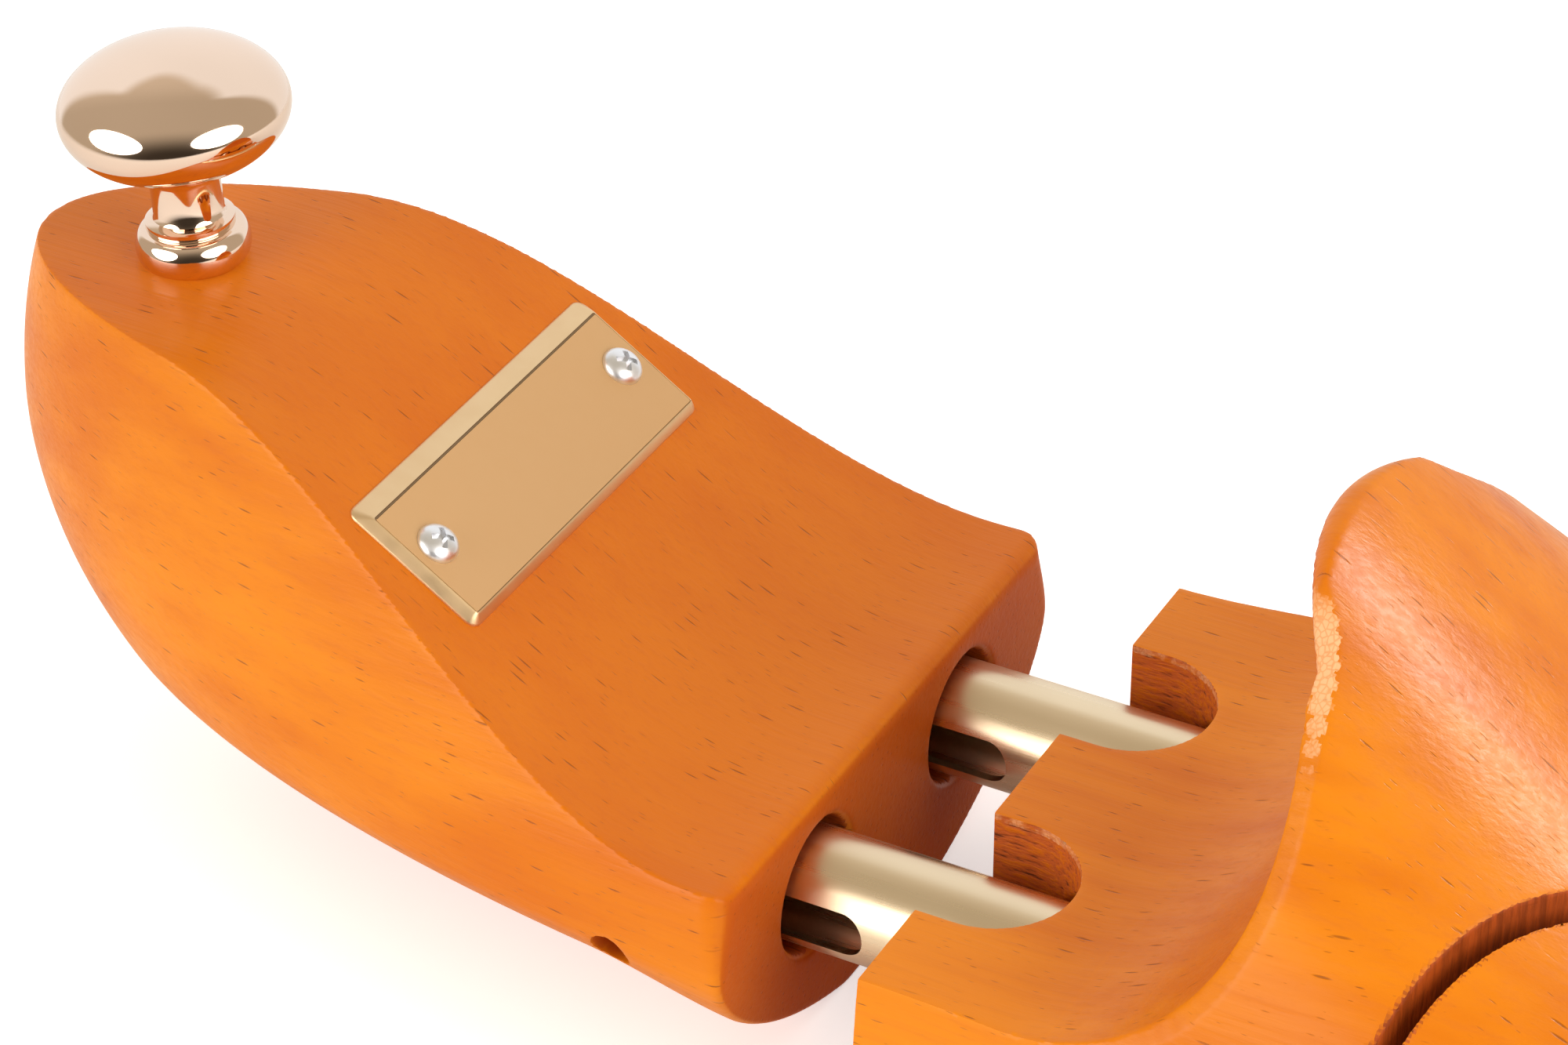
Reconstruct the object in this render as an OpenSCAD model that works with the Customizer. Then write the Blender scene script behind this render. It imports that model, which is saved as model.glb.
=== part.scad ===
// Shoe tree: a heel block slides on two tubes against springs, the tubes lift on a hinge pin
// in the front block, and a sprung side block widens the toe.
// Origin on the sole plane, midway between the tubes, below the hinge pin.
// +X points to the toe, +Y to the inner side of the foot, +Z up. Right foot.

/* [Front block] */
// Length from the shelf's rear edge to the tip of the toe
front_len = 172; // [165:1:185]
// Width at the shelf's rear edge
waist_w = 60.6; // [59:0.2:62]
// Width across the ball of the foot
ball_w = 89; // [84:1:96]
// Distance of the ball from the shelf's rear edge
ball_x = 105; // [100:1:112]
// Height of the instep's crest above the sole
crest_h = 57.8; // [55:0.2:60]
// Height at the ball, before the instep rises
ball_h = 36; // [34:1:40]
// Height behind the toe's tip
toe_h = 24; // [22:1:28]
// How far the toe's centre turns to the inner side
toe_in = 7; // [4:1:10]
// How far the toe's tip lifts off the sole plane
toe_lift = 4; // [2:0.5:6]
// Height of the front block's widest level
front_wide_z = 13; // [12.5:0.5:14.5]
// Height of the shelf that holds the notches
shelf_z = 21.5; // [20.6:0.1:22.5]
// Radius of the hollow behind the instep
scoop_r = 19.5; // [18:0.1:22]
// Distance of the hollow's axis from the shelf's rear edge
scoop_x = 11.5; // [10:0.1:13]

/* [Heel block] */
// Length of the heel block at its widest level
heel_len = 82.7; // [80:0.1:86]
// Largest width of the heel block
heel_w = 60.4; // [59:0.1:62]
// Height of the heel's top above the sole plane
heel_h = 47.8; // [45:0.2:52]
// Height of the heel block's front edge
heel_front_h = 23; // [22:0.1:24]
// Length of the saddle between the front edge and the top
saddle_run = 56; // [54:1:60]
// Height of the heel's widest level
heel_wide_z = 15.2; // [14.6:0.2:16.6]
// Flank slope above the widest level, width lost for each unit of height on each side
heel_taper = 0.36; // [0.32:0.01:0.4]
// Distance between the heel block and the front block when the springs are relaxed
rest_gap = 12.4; // [12:0.1:15]

/* [Tubes] */
// Outer diameter of a tube
tube_d = 10; // [9.6:0.1:10.4]
// Wall of a tube
tube_wall = 0.7; // [0.5:0.1:1]
// Distance between the two tube axes
tube_pitch = 26.1; // [25.6:0.1:26.6]
// Height of the tube axes above the sole plane
tube_z = 14; // [13.6:0.1:14.3]
// Reach of a tube behind the heel's front face
tube_in_heel = 24.7; // [22:0.1:26]
// Reach of a tube beyond the hinge pin's axis
tube_past_hinge = 3.2; // [3:0.1:3.4]
// Height of the slots in the tubes' sides
slot_h = 4; // [3.8:0.1:4.4]
// Distance of the slots' front ends from the heel's front face
slot_out = 6.5; // [4:0.5:8]

/* [Notches and hinge] */
// Width of a notch
notch_w = 14; // [13.5:0.5:15.5]
// Depth of a notch, from the shelf's rear edge to its round end
notch_len = 10.3; // [10:0.1:11.2]
// Offset of a notch from its tube, to the outer side
notch_off = 0.5; // [0:0.1:0.8]
// Distance of the hinge pin from the shelf's rear edge
hinge_in = 13.5; // [13.2:0.1:14]
// Diameter of the hinge pin
hinge_d = 4; // [3.6:0.1:4.2]
// Length of the hinge pin
hinge_len = 56; // [50:1:58]
// Room round a tube's end for its swing
swing_room = 0.85; // [0.7:0.05:0.9]

/* [Heel guide] */
// Diameter of the heel's cross pin
cross_d = 3.3; // [2.8:0.1:3.5]
// Length of the heel's cross pin
cross_len = 50; // [46:1:52]
// Distance of the cross pin behind the heel's front face
cross_in = 10.7; // [9:0.1:11]
// Depth of the tube bores in the heel
bore_len = 44.7; // [43.5:0.1:45]
// Diameter of a bore's widened mouth
mouth_d = 11.7; // [11:0.1:12]
// Depth of a bore's widened mouth
mouth_len = 6; // [4:0.5:7]
// Wire of a slide spring
slide_wire = 0.9; // [0.7:0.1:1]
// Outer diameter of a slide spring
slide_spring_d = 9; // [8:0.1:9.4]
// Curls of a slide spring
slide_curls = 7; // [5:1:7]

/* [Toe spread] */
// Width of the split, along Y, with the side block out
split_gap = 2.4; // [2.2:0.1:3.5]
// Distance of the split's start from the shelf's rear edge
split_x = 41.7; // [39:0.1:44]
// Distance of the split's start from the middle plane
split_y = 30; // [28:0.1:32]
// How far the split bends in towards the middle plane
split_bend = 27; // [24:0.5:29]
// Length over which the split bends
split_run = 12; // [10:0.5:14]
// Slope of the split beyond its bend
split_slope = 0.05; // [0:0.01:0.1]
// How far the side block's face lies ahead of the front block's, along X
split_skip = 0.5; // [0:0.1:1]
// Distance of the rear guide pin from the shelf's rear edge
guide_rear_x = 74; // [70:1:78]
// Distance of the front guide pin from the shelf's rear edge
guide_front_x = 118; // [112:1:122]
// Height of the guide pins
guide_z = 13; // [12:0.5:14]
// Diameter of a guide pin
guide_d = 5; // [4:0.5:5]
// Diameter of a guide pin's head
guide_head_d = 8; // [7.5:0.1:8.4]
// Thickness of a guide pin's head
guide_head_t = 2; // [1.5:0.1:2.5]
// Depth of a guide pin in the front block, behind the spring's seat
guide_hold = 14; // [10:1:18]
// Outer diameter of a guide bush
bush_d = 9; // [8.8:0.1:10]
// Length of a guide bush
bush_len = 5; // [4:0.5:6]
// Depth of a guide bush's face in the side block
bush_sink = 1.2; // [1:0.1:2]
// Depth of a toe spring's seat in the front block
toe_seat = 5; // [4.5:0.5:7]
// Wire of a toe spring
toe_wire = 0.8; // [0.6:0.1:0.8]
// Outer diameter of a toe spring
toe_spring_d = 8; // [7.6:0.1:8.4]
// Curls of a toe spring
toe_curls = 4; // [3:1:4]

/* [Knob] */
// Diameter of the knob's head
knob_d = 19.5; // [18:0.1:22]
// Thickness of the knob's head
knob_t = 11; // [9:0.1:12]
// Height of the knob's head centre above its foot
knob_z = 14.2; // [13.5:0.1:16]
// Diameter of the knob's neck
neck_d = 6; // [5.4:0.1:7]
// Diameter of the knob's foot
foot_d = 9.8; // [8.6:0.1:11]
// Height of the knob's foot
foot_h = 4.2; // [3.6:0.1:5]
// Distance of the knob's foot from the heel's back
knob_back = 16.8; // [15:0.1:18]
// Lean of the knob towards the back, in degrees
knob_lean = 4.5; // [0:0.5:6]
// Depth of the knob's seat in the wood
knob_sink = 0.4; // [0.4:0.1:0.8]
// Diameter of the stud
stud_d = 4; // [3:0.5:4]
// Length of the stud in the wood
stud_in_wood = 14; // [10:1:18]
// Length of the stud in the knob
stud_in_knob = 9; // [6:1:12]

/* [Plate] */
// Length of the plate across the heel
plate_l = 37; // [34:0.5:38]
// Height of the plate up the slope
plate_h = 13.9; // [13:0.1:14.5]
// Thickness of the plate
plate_t = 1.2; // [0.9:0.1:1.5]
// Width of the plate's bevelled border
plate_bevel = 1.9; // [1.5:0.1:2.2]
// Thickness of the plate's edge
plate_edge = 0.5; // [0.4:0.1:0.6]
// Depth of the plate's flat seat in the slope
plate_sink = 0.3; // [0.3:0.1:0.6]
// Distance of the plate's centre behind the heel's front face
plate_in = 34.1; // [31:0.1:35]
// Distance between the two screws
screw_pitch = 30; // [28:0.2:31]
// Diameter of a screw's head
screw_head_d = 3.7; // [3:0.1:4]
// Height of a screw's head
screw_head_h = 1.2; // [1:0.1:1.4]
// Diameter of a screw's shank
screw_d = 2; // [1.6:0.1:2.2]
// Length of a screw below its head
screw_len = 9; // [7:0.5:11]

/* [Fits] */
// Radial clearance of pieces that slide or turn
run_fit = 0.06; // [0.03:0.01:0.1]
// Radial clearance of pieces that stay fixed
fixed_fit = 0.02; // [0.01:0.01:0.03]
// Clearance where two pieces stop against each other
stop_gap = 0.05; // [0.02:0.01:0.1]
// Clearance between a tube and the floor of its notch
floor_gap = 0.1; // [0.05:0.05:0.3]
// Travel of the heel block
heel_travel = 10.3; // [8:0.1:11.5]
// Travel of the toe side block
toe_travel = 1.9; // [1.5:0.1:2]

/* [Hidden] */
$fn = 48;
// reach of cuts beyond the faces that they open
over = 2;
rear_x = -hinge_in;
heel_x = rear_x - rest_gap;
tube_r = tube_d / 2;
tube_y = tube_pitch / 2;
slot_front_x = heel_x + slot_out;
cross_x = heel_x - cross_in;
slot_rear_x = cross_x - cross_d / 2 - stop_gap;
tube_rear_x = heel_x - tube_in_heel;
bore_end_x = heel_x - bore_len;
knob_x = heel_x - heel_len + knob_back;
plate_x = heel_x - plate_in;
// shape exponents and reference places of the two blocks
dome_side_pow = 2.28;
dome_top_pow = 1.82;
sole_pow = 2.6;
sole_round = 1.2;
toe_pow = 1.8;
nose_len = 32;
nose_z = 11;
heel_pow = 1.45;
heel_full = 0.3;
heel_full_run = 14;
heel_round = 0.9;
heel_soft = 8;
heel_back_z = 33.9;
heel_back_fall = 2.2;
heel_tuck = 0.98;
heel_low_len = 35.3;
heel_low_mid = -30.9;
heel_top_mid = 17.2;
saddle_start = 3.7;
fall_start = 15.2;
fall_run = 56.8;
toe_fall_start = 40;
toe_fall_run = 115;
turn_start = 50;
turn_run = 110;
lift_run = 60;

function ease(t) = t <= 0 ? 0 : t >= 1 ? 1 : t * t * (3 - 2 * t);

// a closed skin over rings of points, all of the same count
module skin(rings) {
  n = len(rings);
  m = len(rings[0]);
  polyhedron(points = [for (r = rings) for (p = r) p],
    faces = concat(
      [[for (i = [0:m - 1]) i]],
      [[for (i = [m - 1:-1:0]) (n - 1) * m + i]],
      [for (j = [0:n - 2]) for (i = [0:m - 1])
        [j * m + i, (j + 1) * m + i, (j + 1) * m + (i + 1) % m]],
      [for (j = [0:n - 2]) for (i = [0:m - 1])
        [j * m + i, (j + 1) * m + (i + 1) % m, j * m + (i + 1) % m]]));
}

// front block's form, u being the distance from the shelf's rear edge
function toe_share(u) =
  u <= ball_x ? 1 : sqrt(max(0, 1 - pow((u - ball_x) / (front_len - ball_x), toe_pow)));
function front_half(u) = (waist_w + (ball_w - waist_w) * ease(u / ball_x)) / 2 * toe_share(u);
function front_mid(u) = toe_in * ease((u - turn_start) / turn_run);
function front_top(u) = toe_h + (ball_h - toe_h) * (1 - ease((u - toe_fall_start) / toe_fall_run))
  + (crest_h - ball_h) * (1 - ease((u - fall_start) / fall_run));
function nose_share(u) =
  u <= front_len - nose_len ? 1 : sqrt(max(0, 1 - pow((u - front_len + nose_len) / nose_len, 2)));
function front_lift(u) = toe_lift * ease((u - ball_x) / lift_run);

// points of one upright section, from the inner side over the top and under the sole
dome_steps = 18;
side_steps = 4;
// closer steps towards the rounded edges
side_even = 0.7;
level_even = 1.15;
function dome_point(u, a) =
  [(cos(a) < 0 ? -1 : 1) * pow(abs(cos(a)), 2 / dome_side_pow) * front_half(u),
   front_wide_z + (front_top(u) - front_wide_z) * pow(max(0, sin(a)), 2 / dome_top_pow)];
function sole_share(z) =
  pow(1 - pow((front_wide_z - z) / (front_wide_z + sole_round), sole_pow), 1 / sole_pow);
function side_point(u, z) = [front_half(u) * sole_share(z), z];
function side_level(i) = front_wide_z * (1 - pow(i / side_steps, side_even));
function front_section(u) = concat(
  [for (i = [0:dome_steps]) dome_point(u, 180 * i / dome_steps)],
  [for (i = [1:side_steps]) let (p = side_point(u, side_level(i))) [-p[0], p[1]]],
  [for (i = [side_steps:-1:1]) side_point(u, side_level(i))]);
function front_ring(u) = [for (p = front_section(u))
  [rear_x + u, front_mid(u) + p[0], front_lift(u) + nose_z + (p[1] - nose_z) * nose_share(u)]];
body_steps = 22;
nose_steps = 7;
nose_turn = 87;
front_places = concat(
  [for (i = [0:body_steps]) (front_len - nose_len) * i / body_steps],
  [for (i = [1:nose_steps]) front_len - nose_len + nose_len * sin(nose_turn * i / nose_steps)]);
module front_form() {
  skin([for (u = front_places) front_ring(u)]);
}

// plan of the split: y of the front block's face at the distance u
function split_at(u) =
  -split_y + split_bend * (1 - exp(-(u - split_x) / split_run)) + split_slope * (u - split_x);
split_steps = 26;
// closer steps in the bend than towards the toe
split_even = 1.6;
module outer_side(shift) {
  first = split_x - split_run;
  run = front_len + over - first;
  reach = -(ball_w + over);
  translate([rear_x, shift, -over])
    linear_extrude(crest_h + 2 * over)
      polygon(concat(
        [for (i = [0:split_steps]) let (u = first + run * pow(i / split_steps, split_even))
          [u, split_at(u)]],
        [[front_len + over, reach], [first, reach]]));
}

// heel's form, s being the distance behind its front face
function heel_top(s) = heel_front_h + (heel_h - heel_front_h) * ease((s - saddle_start) / saddle_run);
// the section grows fuller towards the front face
function heel_power(s) = heel_pow + heel_full * (1 - ease(s / heel_full_run));
function heel_half(s, z) = z >= heel_wide_z
  ? heel_w / 2 - heel_taper * (z - heel_wide_z < heel_soft
      ? pow(z - heel_wide_z, 2) / (2 * heel_soft) : z - heel_wide_z - heel_soft / 2)
  : heel_w / 2 * pow(1 - pow((heel_wide_z - z) / (heel_wide_z + heel_round), heel_power(s)),
      1 / heel_power(s));
function heel_reach(z) = z >= heel_back_z
  ? heel_len - heel_back_fall * pow((z - heel_back_z) / (heel_h - heel_back_z), 2)
  : heel_low_len + (heel_len - heel_low_len)
    * sqrt(1 - heel_tuck * pow((heel_back_z - z) / heel_back_z, 2));
function heel_mid(z) = heel_low_mid + (heel_top_mid - heel_low_mid) * z / heel_h;
function heel_edge(s, z) = heel_half(s, z)
  * sqrt(max(0, 1 - pow(max(0, s - heel_mid(z)) / (heel_reach(z) - heel_mid(z)), 2)));
plan_steps = 15;
level_steps = 13;
// place behind the front face of the point at the share a of the plan and v of the height
function heel_place(v, a, k = 6) = sin(90 * a)
  * (k == 0 ? heel_len : heel_reach(v * heel_top(heel_place(v, a, k - 1))));
function heel_point(v, a, side) = let (s = heel_place(v, a), z = v * heel_top(s))
  [heel_x - s, side * heel_edge(s, z), z];
// one ring, from the front on the inner side round the back to the outer side
function heel_ring(v) = concat(
  [for (i = [0:plan_steps - 1]) heel_point(v, i / plan_steps, 1)],
  [for (i = [plan_steps:-1:0]) heel_point(v, i / plan_steps, -1)]);
// flanks, front and sole, closed by the saddle in strips that run across
module heel_form() {
  m = 2 * plan_steps + 1;
  top = level_steps * m;
  polyhedron(
    points = [for (j = [0:level_steps]) for (p = heel_ring(pow(j / level_steps, level_even))) p],
    faces = concat(
      [[for (i = [0:m - 1]) i]],
      [for (j = [0:level_steps - 1]) for (i = [0:m - 1])
        [j * m + i, (j + 1) * m + i, (j + 1) * m + (i + 1) % m]],
      [for (j = [0:level_steps - 1]) for (i = [0:m - 1])
        [j * m + i, (j + 1) * m + (i + 1) % m, j * m + (i + 1) % m]],
      [for (i = [0:plan_steps - 2])
        [top + i, top + m - 1 - i, top + m - 2 - i, top + i + 1]],
      [[top + plan_steps - 1, top + plan_steps + 1, top + plan_steps]]));
}

// frames of reference of the plate and of the knob
slope_half = plate_h / 2;
plate_tilt = atan((heel_top(plate_in + slope_half) - heel_top(plate_in - slope_half)) / plate_h);
module on_plate() {
  translate([plate_x, 0, heel_top(plate_in)])
    rotate([0, plate_tilt, 0])
      translate([0, 0, -plate_sink])
        children();
}
module on_knob() {
  translate([knob_x, 0, heel_h - knob_sink])
    rotate([0, -knob_lean, 0])
      children();
}
module screw_places() {
  for (side = [-1, 1])
    translate([0, side * screw_pitch / 2, 0])
      children();
}
module tube_axis(side) {
  translate([0, side * tube_y, tube_z])
    rotate([0, 90, 0])
      children();
}
// a rod of diameter d along Y, from y0 to y1
module cross_rod(x, z, d, y0, y1) {
  translate([x, y1, z])
    rotate([90, 0, 0])
      cylinder(d = d, h = y1 - y0);
}

module heel_block() {
  color([0.82, 0.42, 0.1])
    difference() {
      heel_form();
      for (side = [-1, 1])
        tube_axis(side) {
          translate([0, 0, bore_end_x])
            cylinder(r = tube_r + run_fit, h = bore_len + over);
          translate([0, 0, heel_x - mouth_len])
            cylinder(d = mouth_d, h = mouth_len + over);
        }
      cross_rod(cross_x, tube_z, cross_d + 2 * fixed_fit, -heel_w, heel_w);
      on_plate() {
        translate([-plate_h / 2 - fixed_fit, -plate_l / 2 - fixed_fit, 0])
          cube([plate_h + 2 * fixed_fit, plate_l + 2 * fixed_fit, 3 * over]);
        screw_places()
          translate([0, 0, plate_t - screw_len - stop_gap])
            cylinder(d = screw_d + 2 * fixed_fit, h = screw_len);
      }
      on_knob() {
        cylinder(d = foot_d + 2 * fixed_fit, h = 2 * over);
        translate([0, 0, -stud_in_wood])
          cylinder(d = stud_d + 2 * fixed_fit, h = stud_in_wood + over);
      }
    }
}

// outline of the knob from its foot's bottom to its crown
neck_flare = 1.1;
ring_h = 0.8;
ring_r = neck_d / 2 + 0.7;
ring_fall = 0.4;
foot_round = 1;
foot_under = 0.5;
neck_rise = 1.2;
flare_rise = 0.5;
flare_out = 0.35;
head_steps = 16;
head_join = knob_z - knob_t / 2 * sqrt(1 - pow((neck_d / 2 + neck_flare) / (knob_d / 2), 2));
function head_point(a) = [knob_d / 2 * cos(a), knob_z + knob_t / 2 * sin(a)];
join_angle = -acos((neck_d / 2 + neck_flare) / (knob_d / 2));
foot_bulge = foot_h - ring_h;
knob_outline = concat(
  [[0, 0], [foot_d / 2 - foot_under, 0]],
  [for (a = [-50:20:70]) [foot_d / 2 - foot_round * (1 - cos(a)), foot_bulge / 2 * (1 + sin(a))]],
  [[ring_r, foot_bulge], [ring_r, foot_h], [neck_d / 2, foot_h + ring_fall],
   [neck_d / 2, head_join - neck_rise], [neck_d / 2 + flare_out, head_join - flare_rise]],
  [for (i = [0:head_steps]) head_point(join_angle + (90 - join_angle) * i / head_steps)]);
module heel_knob() {
  color([0.9, 0.72, 0.52])
    on_knob()
      difference() {
        rotate_extrude()
          polygon(knob_outline);
        translate([0, 0, -over])
          cylinder(d = stud_d + 2 * fixed_fit, h = stud_in_knob + over);
      }
}

module knob_stud() {
  color([0.6, 0.6, 0.62])
    on_knob()
      translate([0, 0, -stud_in_wood])
        cylinder(d = stud_d, h = stud_in_wood + stud_in_knob);
}

module name_plate() {
  a = plate_h / 2;
  b = plate_l / 2;
  c = a - plate_bevel;
  d = b - plate_bevel;
  color([0.72, 0.58, 0.34])
    on_plate()
      difference() {
        skin([
          [[a, b, 0], [-a, b, 0], [-a, -b, 0], [a, -b, 0]],
          [[a, b, plate_edge], [-a, b, plate_edge], [-a, -b, plate_edge], [a, -b, plate_edge]],
          [[c, d, plate_t], [-c, d, plate_t], [-c, -d, plate_t], [c, -d, plate_t]]]);
        screw_places()
          translate([0, 0, -over])
            cylinder(d = screw_d + 2 * fixed_fit, h = plate_t + 2 * over);
      }
}

// radius of the ball that a screw's round head is cut from
screw_ball = (pow(screw_head_d / 2, 2) + pow(screw_head_h, 2)) / (2 * screw_head_h);
recess_l = 2;
recess_w = 0.5;
recess_d = 0.6;
module plate_screws() {
  color([0.78, 0.8, 0.82])
    on_plate()
      screw_places()
        translate([0, 0, plate_t]) {
          difference() {
            intersection() {
              translate([0, 0, screw_head_h - screw_ball])
                sphere(r = screw_ball);
              cylinder(d = screw_head_d + over, h = screw_head_h);
            }
            for (turn = [45, 135])
              rotate([0, 0, turn])
                translate([-recess_l / 2, -recess_w / 2, screw_head_h - recess_d])
                  cube([recess_l, recess_w, recess_d + over]);
          }
          translate([0, 0, -screw_len])
            cylinder(d = screw_d, h = screw_len);
        }
}

module heel_cross_pin() {
  color([0.62, 0.62, 0.64])
    cross_rod(cross_x, tube_z, cross_d, -cross_len / 2, cross_len / 2);
}

module slotted_tube(side) {
  slot_r = slot_h / 2;
  far = side * tube_y + tube_d;
  near = side * tube_y - tube_d;
  color([0.83, 0.74, 0.55])
    difference() {
      tube_axis(side)
        translate([0, 0, tube_rear_x])
          cylinder(r = tube_r, h = tube_past_hinge - tube_rear_x);
      tube_axis(side)
        translate([0, 0, tube_rear_x - over])
          cylinder(r = tube_r - tube_wall, h = tube_past_hinge - tube_rear_x + 2 * over);
      cross_rod(slot_rear_x + slot_r, tube_z, slot_h, near, far);
      cross_rod(slot_front_x - slot_r, tube_z, slot_h, near, far);
      translate([slot_rear_x + slot_r, near, tube_z - slot_r])
        cube([slot_front_x - slot_rear_x - slot_h, far - near, slot_h]);
      cross_rod(0, tube_z, hinge_d + 2 * run_fit, near, far);
    }
}
module tube_left() {
  slotted_tube(1);
}
module tube_right() {
  slotted_tube(-1);
}

// one unbroken wire that winds round the Z axis from 0 to h
ring_steps = 8;
wire_sides = 6;
function wire_ring(r, wire, pitch, a) = let (z = wire / 2 + pitch * a / 360)
  [for (k = [0:wire_sides - 1]) let (b = 360 * k / wire_sides, q = r + wire / 2 * cos(b))
    [q * cos(a), q * sin(a), z + wire / 2 * sin(b)]];
module coil(d, wire, h, curls) {
  pitch = (h - wire) / curls;
  skin([for (i = [curls * ring_steps:-1:0])
    wire_ring((d - wire) / 2, wire, pitch, 360 * i / ring_steps)]);
}
slide_h = bore_len - tube_in_heel - 2 * stop_gap;
toe_coil_h = toe_seat + split_gap + bush_sink - 2 * stop_gap;
// least gap between neighbouring curls, at rest and pressed
function curl_gap(h, wire, curls) = (h - wire) / curls - wire;
echo(slide_spring_gap = curl_gap(slide_h, slide_wire, slide_curls),
  pressed = curl_gap(slide_h - heel_travel, slide_wire, slide_curls));
echo(toe_spring_gap = curl_gap(toe_coil_h, toe_wire, toe_curls),
  pressed = curl_gap(toe_coil_h - toe_travel, toe_wire, toe_curls));
module slide_spring(side) {
  color([0.5, 0.5, 0.52])
    tube_axis(side)
      translate([0, 0, bore_end_x + stop_gap])
        coil(slide_spring_d, slide_wire, slide_h, slide_curls);
}
module slide_spring_left() {
  slide_spring(1);
}
module slide_spring_right() {
  slide_spring(-1);
}

// largest lift of the tubes, in degrees
fold_max = 12;
// faces along a guide pin's axis at the distance u: front block's, side block's and its bush's
function bush_face(u) = split_at(u) - split_gap - bush_sink;
function head_face(u) = bush_face(u) - bush_len - stop_gap;
function seat_face(u) = split_at(u) + toe_seat;
module guide_cuts(u) {
  cross_rod(rear_x + u, guide_z, bush_d, split_at(u) - over, seat_face(u));
  cross_rod(rear_x + u, guide_z, guide_d + 2 * fixed_fit, split_at(u), seat_face(u) + guide_hold);
}
pocket_x = tube_past_hinge + tube_r * sin(fold_max) + swing_room;
module notch(side) {
  end_x = rear_x + notch_len - notch_w / 2;
  floor_z = tube_z - tube_r - floor_gap;
  translate([end_x, side * tube_y - notch_off, floor_z])
    cylinder(d = notch_w, h = crest_h);
  translate([rear_x - over, side * tube_y - notch_off - notch_w / 2, floor_z])
    cube([end_x - rear_x + over, notch_w, crest_h]);
  tube_axis(side)
    translate([0, 0, end_x])
      cylinder(r = tube_r + swing_room, h = pocket_x - end_x);
}
module front_block() {
  color([0.85, 0.45, 0.1])
    difference() {
      front_form();
      cross_rod(rear_x + scoop_x, shelf_z + scoop_r, 2 * scoop_r, -ball_w, ball_w);
      translate([rear_x - over, -ball_w, shelf_z])
        cube([scoop_x + over, 2 * ball_w, crest_h]);
      notch(1);
      notch(-1);
      cross_rod(0, tube_z, hinge_d + 2 * fixed_fit, -waist_w, waist_w);
      outer_side(0);
      guide_cuts(guide_rear_x);
      guide_cuts(guide_front_x);
    }
}

module hinge_pin() {
  color([0.62, 0.62, 0.64])
    cross_rod(0, tube_z, hinge_d, -hinge_len / 2, hinge_len / 2);
}

module bush_cut(u) {
  cross_rod(rear_x + u, guide_z, bush_d + 2 * fixed_fit,
    head_face(u) - guide_head_t - toe_travel - stop_gap, split_at(u));
}
module toe_side_block() {
  color([0.86, 0.47, 0.11])
    difference() {
      intersection() {
        front_form();
        translate([split_skip, 0, 0])
          outer_side(-split_gap);
      }
      bush_cut(guide_rear_x);
      bush_cut(guide_front_x);
    }
}

module guide_pin(u) {
  color([0.66, 0.66, 0.68]) {
    cross_rod(rear_x + u, guide_z, guide_d, head_face(u) - guide_head_t, seat_face(u) + guide_hold);
    cross_rod(rear_x + u, guide_z, guide_head_d, head_face(u) - guide_head_t, head_face(u));
  }
}
module guide_pin_rear() {
  guide_pin(guide_rear_x);
}
module guide_pin_front() {
  guide_pin(guide_front_x);
}

module guide_bush(u) {
  difference() {
    cross_rod(rear_x + u, guide_z, bush_d, bush_face(u) - bush_len, bush_face(u));
    cross_rod(rear_x + u, guide_z, guide_d + 2 * run_fit,
      bush_face(u) - bush_len - over, bush_face(u) + over);
  }
}
module guide_bushes() {
  color([0.74, 0.6, 0.32]) {
    guide_bush(guide_rear_x);
    guide_bush(guide_front_x);
  }
}

module toe_spring(u) {
  color([0.5, 0.5, 0.52])
    translate([rear_x + u, seat_face(u) - stop_gap, guide_z])
      rotate([90, 0, 0])
        coil(toe_spring_d, toe_wire, toe_coil_h, toe_curls);
}
module toe_spring_rear() {
  toe_spring(guide_rear_x);
}
module toe_spring_front() {
  toe_spring(guide_front_x);
}

heel_block();
heel_knob();
knob_stud();
name_plate();
plate_screws();
heel_cross_pin();
tube_left();
tube_right();
slide_spring_left();
slide_spring_right();
front_block();
hinge_pin();
toe_side_block();
guide_pin_rear();
guide_pin_front();
guide_bushes();
toe_spring_rear();
toe_spring_front();
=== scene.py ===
"""Looks of a wooden shoe tree with twin tubes, a split toe and a pull knob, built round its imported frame."""

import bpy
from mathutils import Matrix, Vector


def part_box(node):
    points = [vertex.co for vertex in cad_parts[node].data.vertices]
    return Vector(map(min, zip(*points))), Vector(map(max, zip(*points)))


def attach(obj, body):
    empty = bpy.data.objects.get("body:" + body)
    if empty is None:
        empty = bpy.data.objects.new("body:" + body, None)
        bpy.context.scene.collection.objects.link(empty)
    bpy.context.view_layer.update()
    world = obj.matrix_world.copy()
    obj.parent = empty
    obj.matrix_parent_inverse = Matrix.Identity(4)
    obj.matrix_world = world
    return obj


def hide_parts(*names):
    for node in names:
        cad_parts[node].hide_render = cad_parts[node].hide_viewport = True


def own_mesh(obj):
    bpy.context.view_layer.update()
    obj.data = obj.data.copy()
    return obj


bl_info = {
    "name": "Shoe Tree",
    "version": (1, 0, 0),
    "blender": (4, 5, 0),
    "location": "View3D > Sidebar > Shoe Tree",
    "description": "Builds a shoe tree's wooden blocks, metal pieces and studio stage round its packed frame",
    "category": "Object",
}

import math

import bmesh
import bpy
from bpy.props import FloatProperty, FloatVectorProperty, IntProperty, PointerProperty
from mathutils import Matrix, Vector, kdtree

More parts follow.
